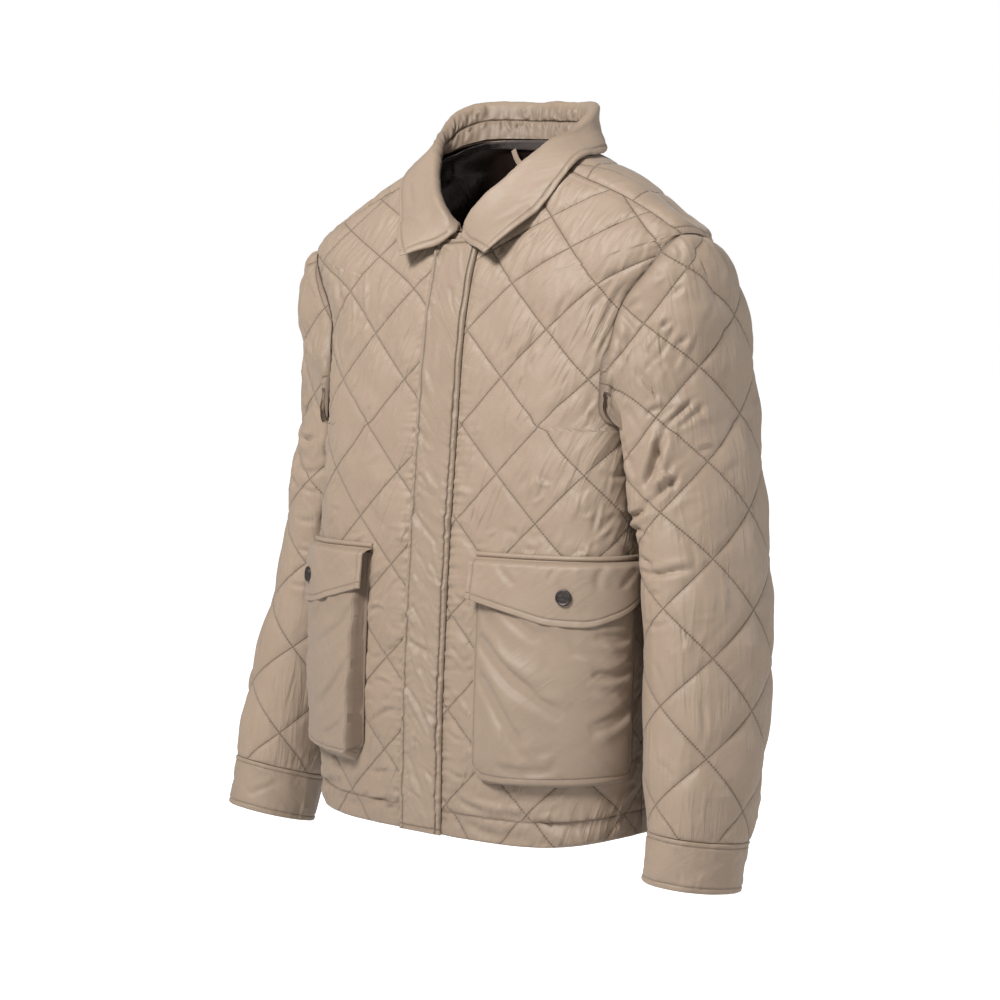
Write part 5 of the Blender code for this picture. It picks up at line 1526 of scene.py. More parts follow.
# ---- sleeves and cuffs -----------------------------------------------------------------
SLEEVE_CREASES = {
    "left": [
        # fine folds down its front
        (-0.1178, 0.4972, -0.1104, 0.4853, -0.1025, 0.4730, 0.0024, -0.0020),
        (-0.1233, 0.4827, -0.1192, 0.4699, -0.1109, 0.4584, 0.0024, -0.0022),
        (-0.0763, 0.4877, -0.0846, 0.4720, -0.0944, 0.4565, 0.0022, 0.0016),
        (-0.0666, 0.4782, -0.0744, 0.4630, -0.0847, 0.4463, 0.0024, -0.0018),
        (-0.0534, 0.4694, -0.0612, 0.4512, -0.0708, 0.4316, 0.0024, 0.0015),
        (-0.1066, 0.4406, -0.0974, 0.4252, -0.0899, 0.4100, 0.0026, -0.0022),
        (-0.1020, 0.4226, -0.0947, 0.4118, -0.0876, 0.3993, 0.0022, 0.0018),
        (-0.1316, 0.3772, -0.1300, 0.3623, -0.1251, 0.3513, 0.0028, -0.0030),
        (-0.1296, 0.3598, -0.1292, 0.3476, -0.1205, 0.3331, 0.0026, 0.0024),
        (-0.0984, 0.3781, -0.0908, 0.3474, -0.0780, 0.3284, 0.0026, -0.0022),
        (-0.0888, 0.3516, -0.0882, 0.3325, -0.0840, 0.3118, 0.0022, 0.0020),
        (-0.0772, 0.3361, -0.0825, 0.3205, -0.0873, 0.3078, 0.0024, -0.0020),
        (-0.1272, 0.3085, -0.1105, 0.3115, -0.0963, 0.3130, 0.0026, -0.0022),
        (-0.1242, 0.2908, -0.1166, 0.2832, -0.1041, 0.2789, 0.0026, -0.0022),
        (-0.1210, 0.2488, -0.1154, 0.2454, -0.0921, 0.2438, 0.0026, -0.0020),
        (-0.1189, 0.2314, -0.1075, 0.2366, -0.0955, 0.2401, 0.0024, 0.0018),
        (-0.0387, 0.4426, -0.0316, 0.4266, -0.0254, 0.4128, 0.0024, 0.0012),
        (-0.0561, 0.4003, -0.0484, 0.3791, -0.0414, 0.3572, 0.0026, -0.0012),
        (-0.1214, 0.1991, -0.1026, 0.1937, -0.0890, 0.1989, 0.0028, -0.0018),
        (-0.0713, 0.2740, -0.0670, 0.2549, -0.0644, 0.2318, 0.0026, -0.0012),
        (-0.0431, 0.2542, -0.0407, 0.2278, -0.0420, 0.2050, 0.0026, 0.0011),
        (-0.1084, 0.1625, -0.0953, 0.1479, -0.0895, 0.1258, 0.0028, -0.0014),
        (-0.0590, 0.1278, -0.0544, 0.1047, -0.0564, 0.0836, 0.0028, -0.0012),
        (-0.0955, 0.0705, -0.0805, 0.0614, -0.0731, 0.0457, 0.0028, -0.0015),
        (-0.0929, 0.4545, -0.0833, 0.4438, -0.0783, 0.4279, 0.0022, -0.0016),
        (-0.1233, 0.4075, -0.1166, 0.3922, -0.1116, 0.3765, 0.0024, -0.0018),
        # the elbow's inner side
        (-0.0883, 0.3810, -0.0955, 0.3560, -0.1080, 0.3270, 0.0040, -0.0052),
        (-0.0960, 0.3780, -0.1050, 0.3540, -0.1160, 0.3300, 0.0042, 0.0028),
        (-0.1055, 0.3264, -0.0905, 0.3330, -0.0796, 0.3360, 0.0034, 0.0032),
        (-0.1030, 0.3120, -0.0890, 0.3230, -0.0800, 0.3330, 0.0036, -0.0048),
        (-0.1345, 0.3000, -0.1190, 0.3020, -0.1010, 0.3125, 0.0036, -0.0050),
        (-0.1330, 0.2930, -0.1180, 0.2950, -0.1000, 0.3010, 0.0030, 0.0020),
        (-0.1330, 0.2830, -0.1230, 0.2870, -0.1130, 0.2850, 0.0030, -0.0026),
        (-0.0910, 0.3890, -0.0830, 0.3960, -0.0750, 0.4010, 0.0028, -0.0030),
        (-0.0880, 0.3800, -0.0740, 0.3930, -0.0600, 0.4030, 0.0034, -0.0040),
        (-0.0800, 0.3790, -0.0640, 0.3880, -0.0480, 0.4020, 0.0036, -0.0020),
        (-0.1040, 0.3955, -0.0950, 0.3985, -0.0860, 0.3990, 0.0028, -0.0034),
        (-0.0580, 0.3550, -0.0510, 0.3580, -0.0440, 0.3570, 0.0026, -0.0026),
        (-0.1085, 0.2380, -0.0890, 0.2440, -0.0670, 0.2460, 0.0036, -0.0034),
        (-0.1230, 0.2600, -0.1140, 0.2560, -0.1040, 0.2500, 0.0030, -0.0032),
        (-0.1180, 0.2180, -0.1060, 0.2240, -0.0960, 0.2220, 0.0030, -0.0016),
        # the head
        (-0.0534, 0.5520, -0.0530, 0.5360, -0.0617, 0.5215, 0.0028, -0.0014),
        (-0.1130, 0.4930, -0.1050, 0.4990, -0.0950, 0.5030, 0.0034, -0.0024),
        (-0.0665, 0.5035, -0.0610, 0.5080, -0.0555, 0.5110, 0.0026, -0.0024),
        (-0.0785, 0.4745, -0.0740, 0.4780, -0.0690, 0.4810, 0.0026, -0.0022),
        (-0.0720, 0.4520, -0.0640, 0.4600, -0.0560, 0.4640, 0.0030, -0.0018),
        (-0.0350, 0.5480, -0.0340, 0.5260, -0.0300, 0.5050, 0.0028, -0.0016),
        (-0.0200, 0.5560, -0.0170, 0.5320, -0.0150, 0.5050, 0.0026, 0.0013),
        # towards the back
        (0.1300, 0.3900, 0.1150, 0.3800, 0.0980, 0.3760, 0.0038, -0.0036),
        (0.1380, 0.3300, 0.1200, 0.3240, 0.1020, 0.3300, 0.0038, -0.0042),
        (0.1340, 0.2860, 0.1180, 0.2800, 0.1020, 0.2840, 0.0036, -0.0028),
        (0.0900, 0.3560, 0.0760, 0.3480, 0.0640, 0.3300, 0.0036, -0.0026),
        (0.1050, 0.4700, 0.0950, 0.4560, 0.0920, 0.4380, 0.0036, -0.0024),
        (0.0500, 0.5300, 0.0480, 0.5080, 0.0440, 0.4880, 0.0030, -0.0018),
    ],
    "right": [
        (-0.1163, 0.4971, -0.1072, 0.4878, -0.1010, 0.4729, 0.0024, -0.0020),
        (-0.0712, 0.4762, -0.0797, 0.4631, -0.0893, 0.4450, 0.0022, 0.0016),
        (-0.0618, 0.4680, -0.0698, 0.4513, -0.0799, 0.4361, 0.0024, -0.0017),
        (-0.0525, 0.4576, -0.0620, 0.4381, -0.0699, 0.4198, 0.0024, 0.0016),
        (-0.0988, 0.4132, -0.0897, 0.4002, -0.0844, 0.3899, 0.0022, 0.0018),
        (-0.1361, 0.3652, -0.1323, 0.3486, -0.1296, 0.3393, 0.0028, -0.0026),
        (-0.1238, 0.3618, -0.1247, 0.3523, -0.1147, 0.3351, 0.0026, 0.0023),
        (-0.0867, 0.3429, -0.0834, 0.3249, -0.0819, 0.3031, 0.0022, 0.0022),
        (-0.1225, 0.3013, -0.1066, 0.3023, -0.0916, 0.3058, 0.0026, -0.0019),
        (-0.1262, 0.2416, -0.1200, 0.2352, -0.0973, 0.2366, 0.0026, -0.0020),
        (-0.0406, 0.4356, -0.0316, 0.4194, -0.0273, 0.4058, 0.0024, 0.0011),
        (-0.1216, 0.1984, -0.1055, 0.1958, -0.0892, 0.1982, 0.0028, -0.0015),
        (-0.0401, 0.2557, -0.0406, 0.2310, -0.0390, 0.2065, 0.0026, 0.0010),
        (-0.0581, 0.1159, -0.0562, 0.0909, -0.0555, 0.0717, 0.0028, -0.0013),
        (-0.0965, 0.4546, -0.0844, 0.4465, -0.0819, 0.4280, 0.0022, -0.0014),
        (-0.1100, 0.4020, -0.1000, 0.3900, -0.0860, 0.3850, 0.0036, -0.0036),
        (-0.1180, 0.3650, -0.1040, 0.3560, -0.0880, 0.3600, 0.0038, -0.0044),
        (-0.1240, 0.3280, -0.1080, 0.3220, -0.0920, 0.3270, 0.0036, -0.0034),
        (-0.0960, 0.3000, -0.0850, 0.3060, -0.0740, 0.3160, 0.0034, -0.0024),
        (-0.1200, 0.2700, -0.1060, 0.2680, -0.0940, 0.2720, 0.0034, -0.0020),
        (-0.0900, 0.4600, -0.0820, 0.4460, -0.0800, 0.4300, 0.0036, -0.0022),
        (-0.0560, 0.5480, -0.0560, 0.5320, -0.0620, 0.5180, 0.0028, -0.0026),
        (-0.0260, 0.5500, -0.0250, 0.5250, -0.0200, 0.5020, 0.0028, -0.0016),
        (0.1280, 0.3860, 0.1120, 0.3780, 0.0960, 0.3760, 0.0038, -0.0034),
        (0.1360, 0.3340, 0.1200, 0.3260, 0.1020, 0.3300, 0.0038, -0.0040),
        (0.1320, 0.2880, 0.1160, 0.2820, 0.1000, 0.2860, 0.0036, -0.0026),
        (0.0880, 0.3500, 0.0740, 0.3420, 0.0620, 0.3260, 0.0036, -0.0024),
        (0.0520, 0.5260, 0.0500, 0.5060, 0.0460, 0.4860, 0.0030, -0.0018),
    ],
}


def build_sleeve(side):
    g = sleeve_grid(side, SLEEVE_STEP)
    P, N, v, al = g["P"], g["N"], g["v"], g["al"]
    X, Y = lay_out_sleeve(g, 7 / FINE)
    Xp, Yp = X[:, :-1], Y[:, :-1]
    down = run_down(P)
    under = np.minimum(np.abs(((np.degrees(al) + 90) % 360)), 360 - ((np.degrees(al) + 90) % 360)) * np.pi / 180 * 0.062
    seam = np.minimum(np.minimum(down, (down[-1:] - down)), np.maximum(under[None, :], 0) + 0 * down)
    close = smooth((-np.sin(al)[None, :] + 0.55) / 0.5) * smooth((-0.20 - P[..., 2]) / 0.03)
    name = "sleeve_" + side
    h, p, r, body = quilted(name, X, Y, np.concatenate([seam, seam[:, :1]], 1), low=np.concatenate([close, close[:, :1]], 1), seed=14 if side == "left" else 15)
    low = lambda x, y: 0.45 + 0.55 * float(smooth((0.30 - abs(y - 0.45)) / 0.2))
    s = streaks(X, Y, 41 if side == "left" else 42, 300, 93.0, 12.0, 0.055, 0.0021, 0.00055, low)
    s += streaks(X, Y, 51 if side == "left" else 52, 150, 60.0, 60.0, 0.032, 0.0034, 0.00080)
    inner_part = lambda x, y: float(smooth((-0.045 - x) / 0.03) * smooth((y - 0.24) / 0.05) * smooth((0.55 - y) / 0.05))
    s += streaks(X, Y, 161 if side == "left" else 162, 260, 44.0, 26.0, 0.034, 0.0027, 0.00115, inner_part)
    rear = lambda x, y: float(smooth((x - 0.055) / 0.03) * smooth((y - 0.20) / 0.05) * smooth((0.50 - y) / 0.05))
    s += streaks(X, Y, 163 if side == "left" else 164, 240, 136.0, 26.0, 0.034, 0.0027, 0.00130, rear)
    s += 1.30 * creases(X, Y, SLEEVE_CREASES[side])
    h = (h + s * (0.35 + 0.65 * body))[:, :-1]
    # gathers of the head at the armhole, and of the foot at the cuff
    around = run_across(P)
    h += 0.0007 * ripple(around[:1] + 0 * down, 71.0, (0.009, 0.014, 0.024)) * np.exp(-down / 0.020) * rise(down, 0.003)
    foot = down[-1:] - down
    h += 0.0007 * ripple(around[-1:] + 0 * down, 72.0, (0.0065, 0.0105, 0.018)) * np.exp(-foot / 0.012) * rise(foot, 0.002)
    # keep clear of the trunk where the two lie together
    h = np.where(h > 0, h * (1 - 0.5 * close), h)
    off = WALL + h
    off += 0.0012 * np.exp(-((down - 0.010) / 0.008) ** 2) * smooth((np.sin(al) + 0.2) / 0.6)[None, :]
    off = np.where(off < WALL, WALL + (off - WALL) * rise(down, 0.0012), off)
    turn = (np.degrees(al) + 360) % 360
    rear_top = (smooth((turn - 60) / 40) * smooth((215 - turn) / 60))[None, :]
    drop = 0.0010 * np.exp(-down / 0.020) * rear_top
    off = off - drop
    outer, inner = P + N * off[..., None], P + N * np.minimum(0.0, lowest(off, 6) - 0.0030)[..., None]
    # the seam allowance that joins trunk and sleeve, just below both faces
    P0, T0, N0 = sleeve_start(al)
    A, n0, into = arm_loop(al)
    face = P0 + N0 * WALL
    mean = unit(N0 + n0)
    # low at the front and back the sleeve's edge laps on to the trunk's face
    lap = smooth((turn - 286) / 14) * smooth((353 - turn) / 12) + smooth((turn - 190) / 12) * smooth((254 - turn) / 14)
    onto = A + n0 * (WALL + 0.0007) - into * (0.0046 * lap)[:, None]
    outer[0] += (onto - outer[0]) * np.clip(lap * 3, 0, 1)[:, None]
    # and its inner face keeps back there
    back_in = (np.exp(-((down / 0.024) ** 4)) * lap)[..., None]
    inner = inner + unit(P.mean(1, keepdims=True) - P) * 0.0075 * back_in
    reach = int(round(0.017 / SLEEVE_STEP))
    for k in range(1, reach):
        chord = outer[0] + (outer[reach] - outer[0]) * (k / reach)
        gain = ((chord - outer[k]) * N[k]).sum(-1)
        outer[k] += (chord - outer[k]) * (lap * smooth((gain + 0.0003) / 0.0010))[:, None]
    lower = (0.0010 * rear_top[0])[:, None]
    A, P0 = A - n0 * lower, P0 - N0 * lower
    face = P0 + N0 * WALL
    strip = [A + n0 * (WALL - 0.0016) - into * 0.0030, (A + n0 * WALL + face) / 2 - mean * 0.0016, face + T0 * 0.0030 - N0 * 0.0016]
    strip = strip + [v - mean * 0.0020 for v in strip[::-1]]
    if side == "right":
        outer, inner, N = mirrored(outer), mirrored(inner), mirrored(N)
        strip = [mirrored(v) for v in strip]
    extra = ribbon(np.stack(strip, 1))
    maps = {"Cloth": np.stack([X, Y], -1), "Lattice": np.stack([p, r], -1), "SewAndShade": np.minimum(down, down[-1:] - down) + 0.0003}
    # painted shade: near the armhole on the underarm side, and along the armhole seam at the front
    turned = (np.degrees(al) + 360) % 360
    at_front = (smooth((np.where(turned > 180, turned, turned + 360) - 300) / 30) * smooth((440 - np.where(turned > 180, turned, turned + 360)) / 25))[None, :]
    shade = 0.42 * np.exp(-down / 0.020) * smooth((-np.sin(al) - 0.35) / 0.4)[None, :] + (0.34 * np.exp(-down / 0.0045) + 0.10 * np.exp(-down / 0.022)) * at_front
    obj = shell("quilted_" + name, outer, inner, maps, QUILT_MAT[name], LINING_MAT, tube=True, flip=side == "left", extra=extra, shade=shade, cloth_rows=6)
    declare(obj, [name], X, Y)
    q = QUILT[name]
    step = math.hypot(q["a"], q["b"])
    free = (seam > 0.0015)
    pw, rw = p[:, :-1], r[:, :-1]
    sets = [lattice_stitches(outer, N, pw, rw, step, free), lattice_stitches(outer, N, rw, pw, step, free)]
    stitch_mesh("quilt_stitches_" + name, *joined(sets))
    return outer


CUFF_CREASES = [
    (-0.105, 0.036, -0.095, 0.026, -0.080, 0.016, 0.0032, -0.0012),
    (-0.060, 0.040, -0.048, 0.028, -0.030, 0.018, 0.0036, -0.0011),
    (0.010, 0.038, 0.022, 0.028, 0.036, 0.012, 0.0032, -0.0010),
    (0.070, 0.036, 0.082, 0.024, 0.094, 0.014, 0.0034, -0.0011),
]


def build_cuff(side):
    end = 1 + (CAP_Z - CUFF_TOP[side]) * 10
    last = end + (CUFF_TOP[side] - CUFF_END) * 10
    depth = CUFF_TOP[side] - CUFF_END
    v = end + 0.004 + 10 * lines(depth - 0.0004, 0.0016, start=True, end=True, marks=(0.0045, depth - 0.0058))
    v = np.minimum(v, last)
    n = int(round(0.30 / (0.0016 * FINE)))
    al = np.radians(-90 + 360 * np.arange(n) / n)
    P, N, _ = sleeve_fine(side, v, al)
    down = run_down(P)
    foot = down[-1:] - down
    around = run_across(P)[:1] + 0 * down
    whole_way = around[:, -1:] + np.linalg.norm(P[:1, -1] - P[:1, 0], axis=-1)
    X = np.concatenate([around, whole_way + 0 * around[:, :1]], 1) - whole_way / 2
    Y = np.concatenate([foot, foot[:, :1]], 1)
    Xp = X[:, :-1]
    h = 0.0004 * bumpy(Xp, foot, 0.03, 200 + len(side))
    h += creases(Xp, foot, CUFF_CREASES)
    h += streaks(Xp, foot, 61 if side == "left" else 62, 60, 70.0, 60.0, 0.022, 0.0022, 0.00045)
    for line, key in ((np.abs(down - 0.0045), 81.0), (np.abs(foot - 0.0058), 82.0)):
        h -= 0.0009 * np.exp(-(line / 0.0009) ** 2)
        h += 0.00042 * ripple(Xp, key, (0.0042, 0.0066, 0.011)) * np.exp(-line / 0.0042) * rise(line, 0.0008)
    face = (WALL - 0.0004 + h)
    off = 0.0004 + (face - 0.0004) * rim(foot, 0.0016) * rim(down + 0.0003, 0.0012)
    outer, inner = P + N * off[..., None], P + N * 0.0004
    if side == "right":
        outer, inner, N = mirrored(outer), mirrored(inner), mirrored(N)
    # painted shade: both cuffs drawn a little darker, the right one more
    obj = shell("cuff_band_" + side, outer, inner, {"Cloth": np.stack([X, Y], -1), "SewAndShade": np.minimum(np.abs(down - 0.0045), np.abs(foot - 0.0058))}, PLAIN_MAT, LINING_MAT, tube=True, flip=side == "left", shade=0.04 if side == "left" else 0.09)
    declare(obj, ["cuff_" + side], X, Y)
    sets = []
    for mark, run in ((0.0045, down), (0.0058, foot)):
        k = int(np.argmin(np.abs(run[:, 0] - mark)))
        sets.append(row_stitches(outer[k], N[k], closed=True))
    stitch_mesh("cuff_stitches_" + side, *joined(sets))


# ---- the fly ---------------------------------------------------------------------------
FLY_CREASES = [
    (-0.0215, -0.4400, -0.0100, -0.4520, 0.0020, -0.4670, 0.0026, -0.0013),
    (-0.0220, -0.4730, -0.0086, -0.4831, 0.0165, -0.4880, 0.0028, -0.0019),
    (-0.0215, -0.5230, -0.0003, -0.5445, 0.0187, -0.5830, 0.0030, -0.0019),
    (-0.0120, -0.5495, 0.0010, -0.5600, 0.0150, -0.5800, 0.0028, -0.0013),
    (-0.0200, -0.3550, -0.0060, -0.3680, 0.0150, -0.3850, 0.0028, -0.0012),
    (-0.0200, -0.3900, -0.0080, -0.3980, 0.0060, -0.4150, 0.0028, -0.0009),
    (-0.0210, -0.3180, -0.0120, -0.3200, 0.0000, -0.3330, 0.0024, -0.0008),
    (-0.0180, -0.5900, -0.0060, -0.6080, 0.0040, -0.6300, 0.0028, -0.0010),
    (-0.0050, -0.1700, -0.0080, -0.2100, -0.0120, -0.2500, 0.0036, 0.0005),
]
FLY_STITCH, FLY_FOLD = -0.0222, 0.0212


def build_fly():
    T = float(level_of(PLACKET_TOP))
    length = 0.582
    up = lines(length, 0.0017, start=True, end=True, marks=(0.0055, length - 0.0045)) / length
    t = up * T
    x = lines(2 * PLACKET_HALF, 0.0014, start=True, end=True, marks=(FLY_STITCH + PLACKET_HALF, FLY_FOLD + PLACKET_HALF)) - PLACKET_HALF
    th = theta(t[:, None], np.abs(x)[None, :])
    P, N = trunk(t[:, None] + 0 * x, th), trunk_normal(t[:, None] + 0 * x, th)
    flip_x = np.where(x < 0, -1.0, 1.0)[None, :, None] * np.array([1.0, 0, 0]) + np.array([0, 1.0, 1.0])
    P, N = P * flip_x, N * flip_x
    Xc, Yc = x[None, :] + 0 * t[:, None], P[..., 2]
    down = run_down(P)
    foot, top = down, down[-1:] - down
    left, right = Xc + PLACKET_HALF, PLACKET_HALF - Xc
    h = 0.0003 * bumpy(Xc, Yc, 0.045, 301) + 1.35 * creases(Xc, Yc, FLY_CREASES)
    h += streaks(Xc, Yc, 71, 170, -52.0, 30.0, 0.030, 0.0023, 0.00135, lambda a, b: 0.15 + 0.85 * float(smooth((-0.26 - b) / 0.10)))
    h += streaks(Xc, Yc, 72, 60, 84.0, 12.0, 0.050, 0.0022, 0.00040)
    low = smooth((-0.25 - Yc) / 0.10 + 0.3)
    for line, key, deep in ((np.abs(Xc - FLY_STITCH), 91.0, 0.0007), (np.abs(Xc - FLY_FOLD), 92.0, 0.0017)):
        h -= deep * np.exp(-(line / 0.0009) ** 2)
        h += (0.22 + 0.78 * low) * 0.00140 * ripple(Yc + 0.5 * (Xc if key > 91.5 else -Xc), key, (0.0052, 0.0083, 0.014)) * np.exp(-line / 0.0060) * rise(line, 0.0008)
    h -= 0.0006 * np.exp(-((foot - 0.0055) / 0.0009) ** 2) + 0.0006 * np.exp(-((top - 0.0045) / 0.0009) ** 2)
    h += 0.0003 * np.exp(-((Xc - 0.5 * (FLY_FOLD + PLACKET_HALF)) / 0.0016) ** 2)
    base = 0.0006
    full = 0.0030 + h
    corner = 0.006
    edge = np.minimum(np.minimum(left, right), np.minimum(foot, top))
    off = WALL + base + (full - base + 0.0) * rim(edge, 0.0013) + 0.0001
    outer, inner = P + N * off[..., None], P + N * (WALL + base)
    # round the upper corner at the free edge
    dl, dt = corner - left, corner - top
    far = np.hypot(np.maximum(dl, 0), np.maximum(dt, 0))
    pull = np.where((dl > 0) & (dt > 0) & (far > corner), (far - corner), 0.0)
    shift = pull[..., None] * unit(np.stack([np.maximum(dl, 0), 0 * dl, -np.maximum(dt, 0)], -1))
    outer, inner = outer + shift, inner + shift
    sewing = np.minimum(np.minimum(np.abs(Xc - FLY_STITCH), np.abs(Xc - FLY_FOLD) * 0.8), np.minimum(np.abs(foot - 0.0055), np.abs(top - 0.0045)))
    obj = shell("fly_placket", outer, inner, {"Cloth": np.stack([Xc, Yc], -1), "SewAndShade": sewing}, FLY_MAT)
    declare(obj, ["placket"], Xc, Yc)
    sets = []
    for mark in (FLY_STITCH, PLACKET_HALF - 0.0012):
        k = int(np.argmin(np.abs(x - mark)))
        m = (foot[:, k] > 0.0055) & (top[:, k] > 0.0045)
        sets.append(row_stitches(outer[m, k], N[m, k], 0.0029))
    for mark, run in ((0.0055, foot), (0.0045, top)):
        k = int(np.argmin(np.abs(run[:, len(x) // 2] - mark)))
        m = (x > FLY_STITCH) & (x < PLACKET_HALF - 0.001)
        sets.append(row_stitches(outer[k][m], N[k][m], 0.0029))
    stitch_mesh("fly_stitches", *joined(sets))


# ---- the collar ------------------------------------------------------------------------
LEAF_CREASES = [
    (0.030, 0.052, 0.046, 0.058, 0.062, 0.056, 0.0040, -0.0012),
    (0.075, 0.050, 0.088, 0.060, 0.108, 0.066, 0.0045, 0.0009),
    (0.120, 0.070, 0.140, 0.058, 0.158, 0.054, 0.0045, -0.0010),
    (0.200, 0.046, 0.215, 0.062, 0.222, 0.078, 0.0045, -0.0008),
    (-0.028, 0.050, -0.046, 0.060, -0.058, 0.074, 0.0040, -0.0014),
    (-0.060, 0.048, -0.078, 0.052, -0.100, 0.050, 0.0040, -0.0011),
    (-0.130, 0.045, -0.146, 0.062, -0.150, 0.080, 0.0045, 0.0008),
    (-0.190, 0.060, -0.206, 0.052, -0.226, 0.056, 0.0045, -0.0009),
]


# the neck's ring hangs a little higher at the wearer's right back: degrees round the neck from +X, rise
NECK_RISE = np.array([(0, 0), (15, 0), (29, -0.001), (43, -0.003), (56, -0.004), (70, -0.004), (84, -0.003), (99, -0.002), (113, 0.0), (127, 0.003), (141, 0.007),
                      (155, 0.011), (168, 0.012), (180, 0.009), (193, 0.005), (207, 0.001), (218, 0.0), (360, 0.0)])


def round_neck(P):
    return np.degrees(np.arctan2(P[..., 1] - 0.010, P[..., 0])) % 360


def raised(P, weight=1.0):
    out = P.copy()
    out[..., 2] += weight * pchip(NECK_RISE[:, 0], NECK_RISE[:, 1], round_neck(P))
    return out


def build_leaf():
    mid, s, across = collar_leaf(0.0017)
    way_out = run_across(mid)
    way_out = way_out / way_out[:, -1:]
    # the leaf's rear corner at the wearer's left lies closer to the neck
    turn_in = 0.0062 * np.exp(-(((round_neck(mid) - 33.0) / 21.0) ** 2)) * smooth((way_out - 0.35) / 0.6)
    radial = unit(mid * np.array([1.0, 1.0, 0.0]) - np.array([0.0, 0.010, 0.0]))
    mid = mid - radial * turn_in[..., None] + np.array([0.0, 0.0, 1.0]) * (0.75 * turn_in)[..., None]
    mid = raised(mid, 1 - smooth((way_out - 0.30) / 0.65))
    N = grid_normals(mid)
    # the leaf's outer side faces away from the neck
    probe = mid[len(mid) // 2, -3] - np.array([0, 0.03, 0.0])
    if np.sum(N[len(mid) // 2, -3] * (mid[len(mid) // 2, -3] - probe)) < 0:
        N = -N
    across_run = run_across(mid)                       # from the inner collar seam to the edge
    edge = across_run[:, -1:] - across_run
    along = run_down(mid)
    Xc = along - along[-1:] / 2
    Yc = across_run
    ends = np.minimum(along, along[-1:] - along)
    # lengths round the edge, for waves and creases: wearer's left end is negative
    face = Yc[:1].mean(0)
    h = 0.0004 * bumpy(Xc, Yc, 0.060, 401)
    way = np.where(Xc < 0, along, -(along[-1:] - along))
    h += creases(way, Yc, LEAF_CREASES)
    h += streaks(Xc, Yc, 81, 70, 70.0, 50.0, 0.030, 0.0026, 0.00038)
    sew = np.minimum(np.abs(edge - 0.0065), np.where(Yc > 0.020, np.abs(ends - 0.0065), 1.0))
    inside = (edge > 0.0065) & (ends > 0.0065)
    sew = np.where((edge < 0.0058) & (ends < 0.0058), 1.0, sew)
    h -= 0.0008 * np.exp(-(sew / 0.0009) ** 2)
    h += 0.00030 * ripple(Xc + Yc, 95.0, (0.0045, 0.0075, 0.013)) * np.exp(-sew / 0.0040) * rise(sew, 0.0008)
    h += 0.0004 * np.exp(-(((np.minimum(edge, ends)) - 0.0032) / 0.0020) ** 2)
    # gathers over the inner seam
    h += 0.0010 * ripple(Xc, 96.0, (0.0072, 0.0117, 0.0230)) * np.exp(-Yc / 0.0090) * rise(Yc, 0.0016)
    gathered = 0.22 + 0.78 * smooth((ends - 0.115) / 0.05)
    pleats = streaks(Xc, Yc, 83, 1150, 90.0, 20.0, 0.018, 0.0023, 0.0026, lambda x, y: float(y < 0.011))
    h += gathered * np.where(pleats < 0, -0.0009 * np.tanh(-pleats / 0.0009), 0.0026 * np.tanh(pleats / 0.0026)) * rise(Yc, 0.0012)
    h -= 0.0010 * np.exp(-Yc / 0.0012)
    free = np.minimum(edge, ends)
    r = rim(free, 0.0014)
    outer = mid + N * ((COLLAR_WALL / 2 + h) * r)[..., None]
    inner = mid - N * ((COLLAR_WALL / 2) * r + 0.00005)[..., None]
    flip = leaf_flip(mid, N)
    # painted shade near the inner collar seam, and a little over the whole leaf
    obj = shell("collar_leaf_cloth", outer, inner, {"Cloth": np.stack([Xc, Yc], -1), "SewAndShade": np.minimum(sew, Yc * 0.6 + 0.0002)}, PLAIN_MAT, flip=flip, keep=3, shade=0.26 * smooth((0.020 - Yc) / 0.010) + 0.02)
    declare(obj, ["collar_leaf"], Xc, Yc)
    k = int(np.argmin(np.abs(edge[len(edge) // 2] - 0.0065)))
    a = int(np.argmin(np.abs(ends[: len(ends) // 2, -1] - 0.0065)))
    b = len(ends) - 1 - a
    j0 = int(np.argmin(np.abs(Yc[0] - 0.020)))
    sets = [row_stitches(outer[a:b + 1, k], N[a:b + 1, k], 0.0029), row_stitches(outer[a, j0:k + 1], N[a, j0:k + 1], 0.0029), row_stitches(outer[b, j0:k + 1], N[b, j0:k + 1], 0.0029)]
    stitch_mesh("collar_stitches", *joined(sets))


def leaf_flip(P, N):
    """Whether faces made row by row, then column by column, point against N."""
    i, j = len(P) // 2, P.shape[1] // 2
    made = np.cross(P[i, j + 1] - P[i, j], P[i + 1, j] - P[i, j])
    return bool(np.sum(made * N[i, j]) < 0)


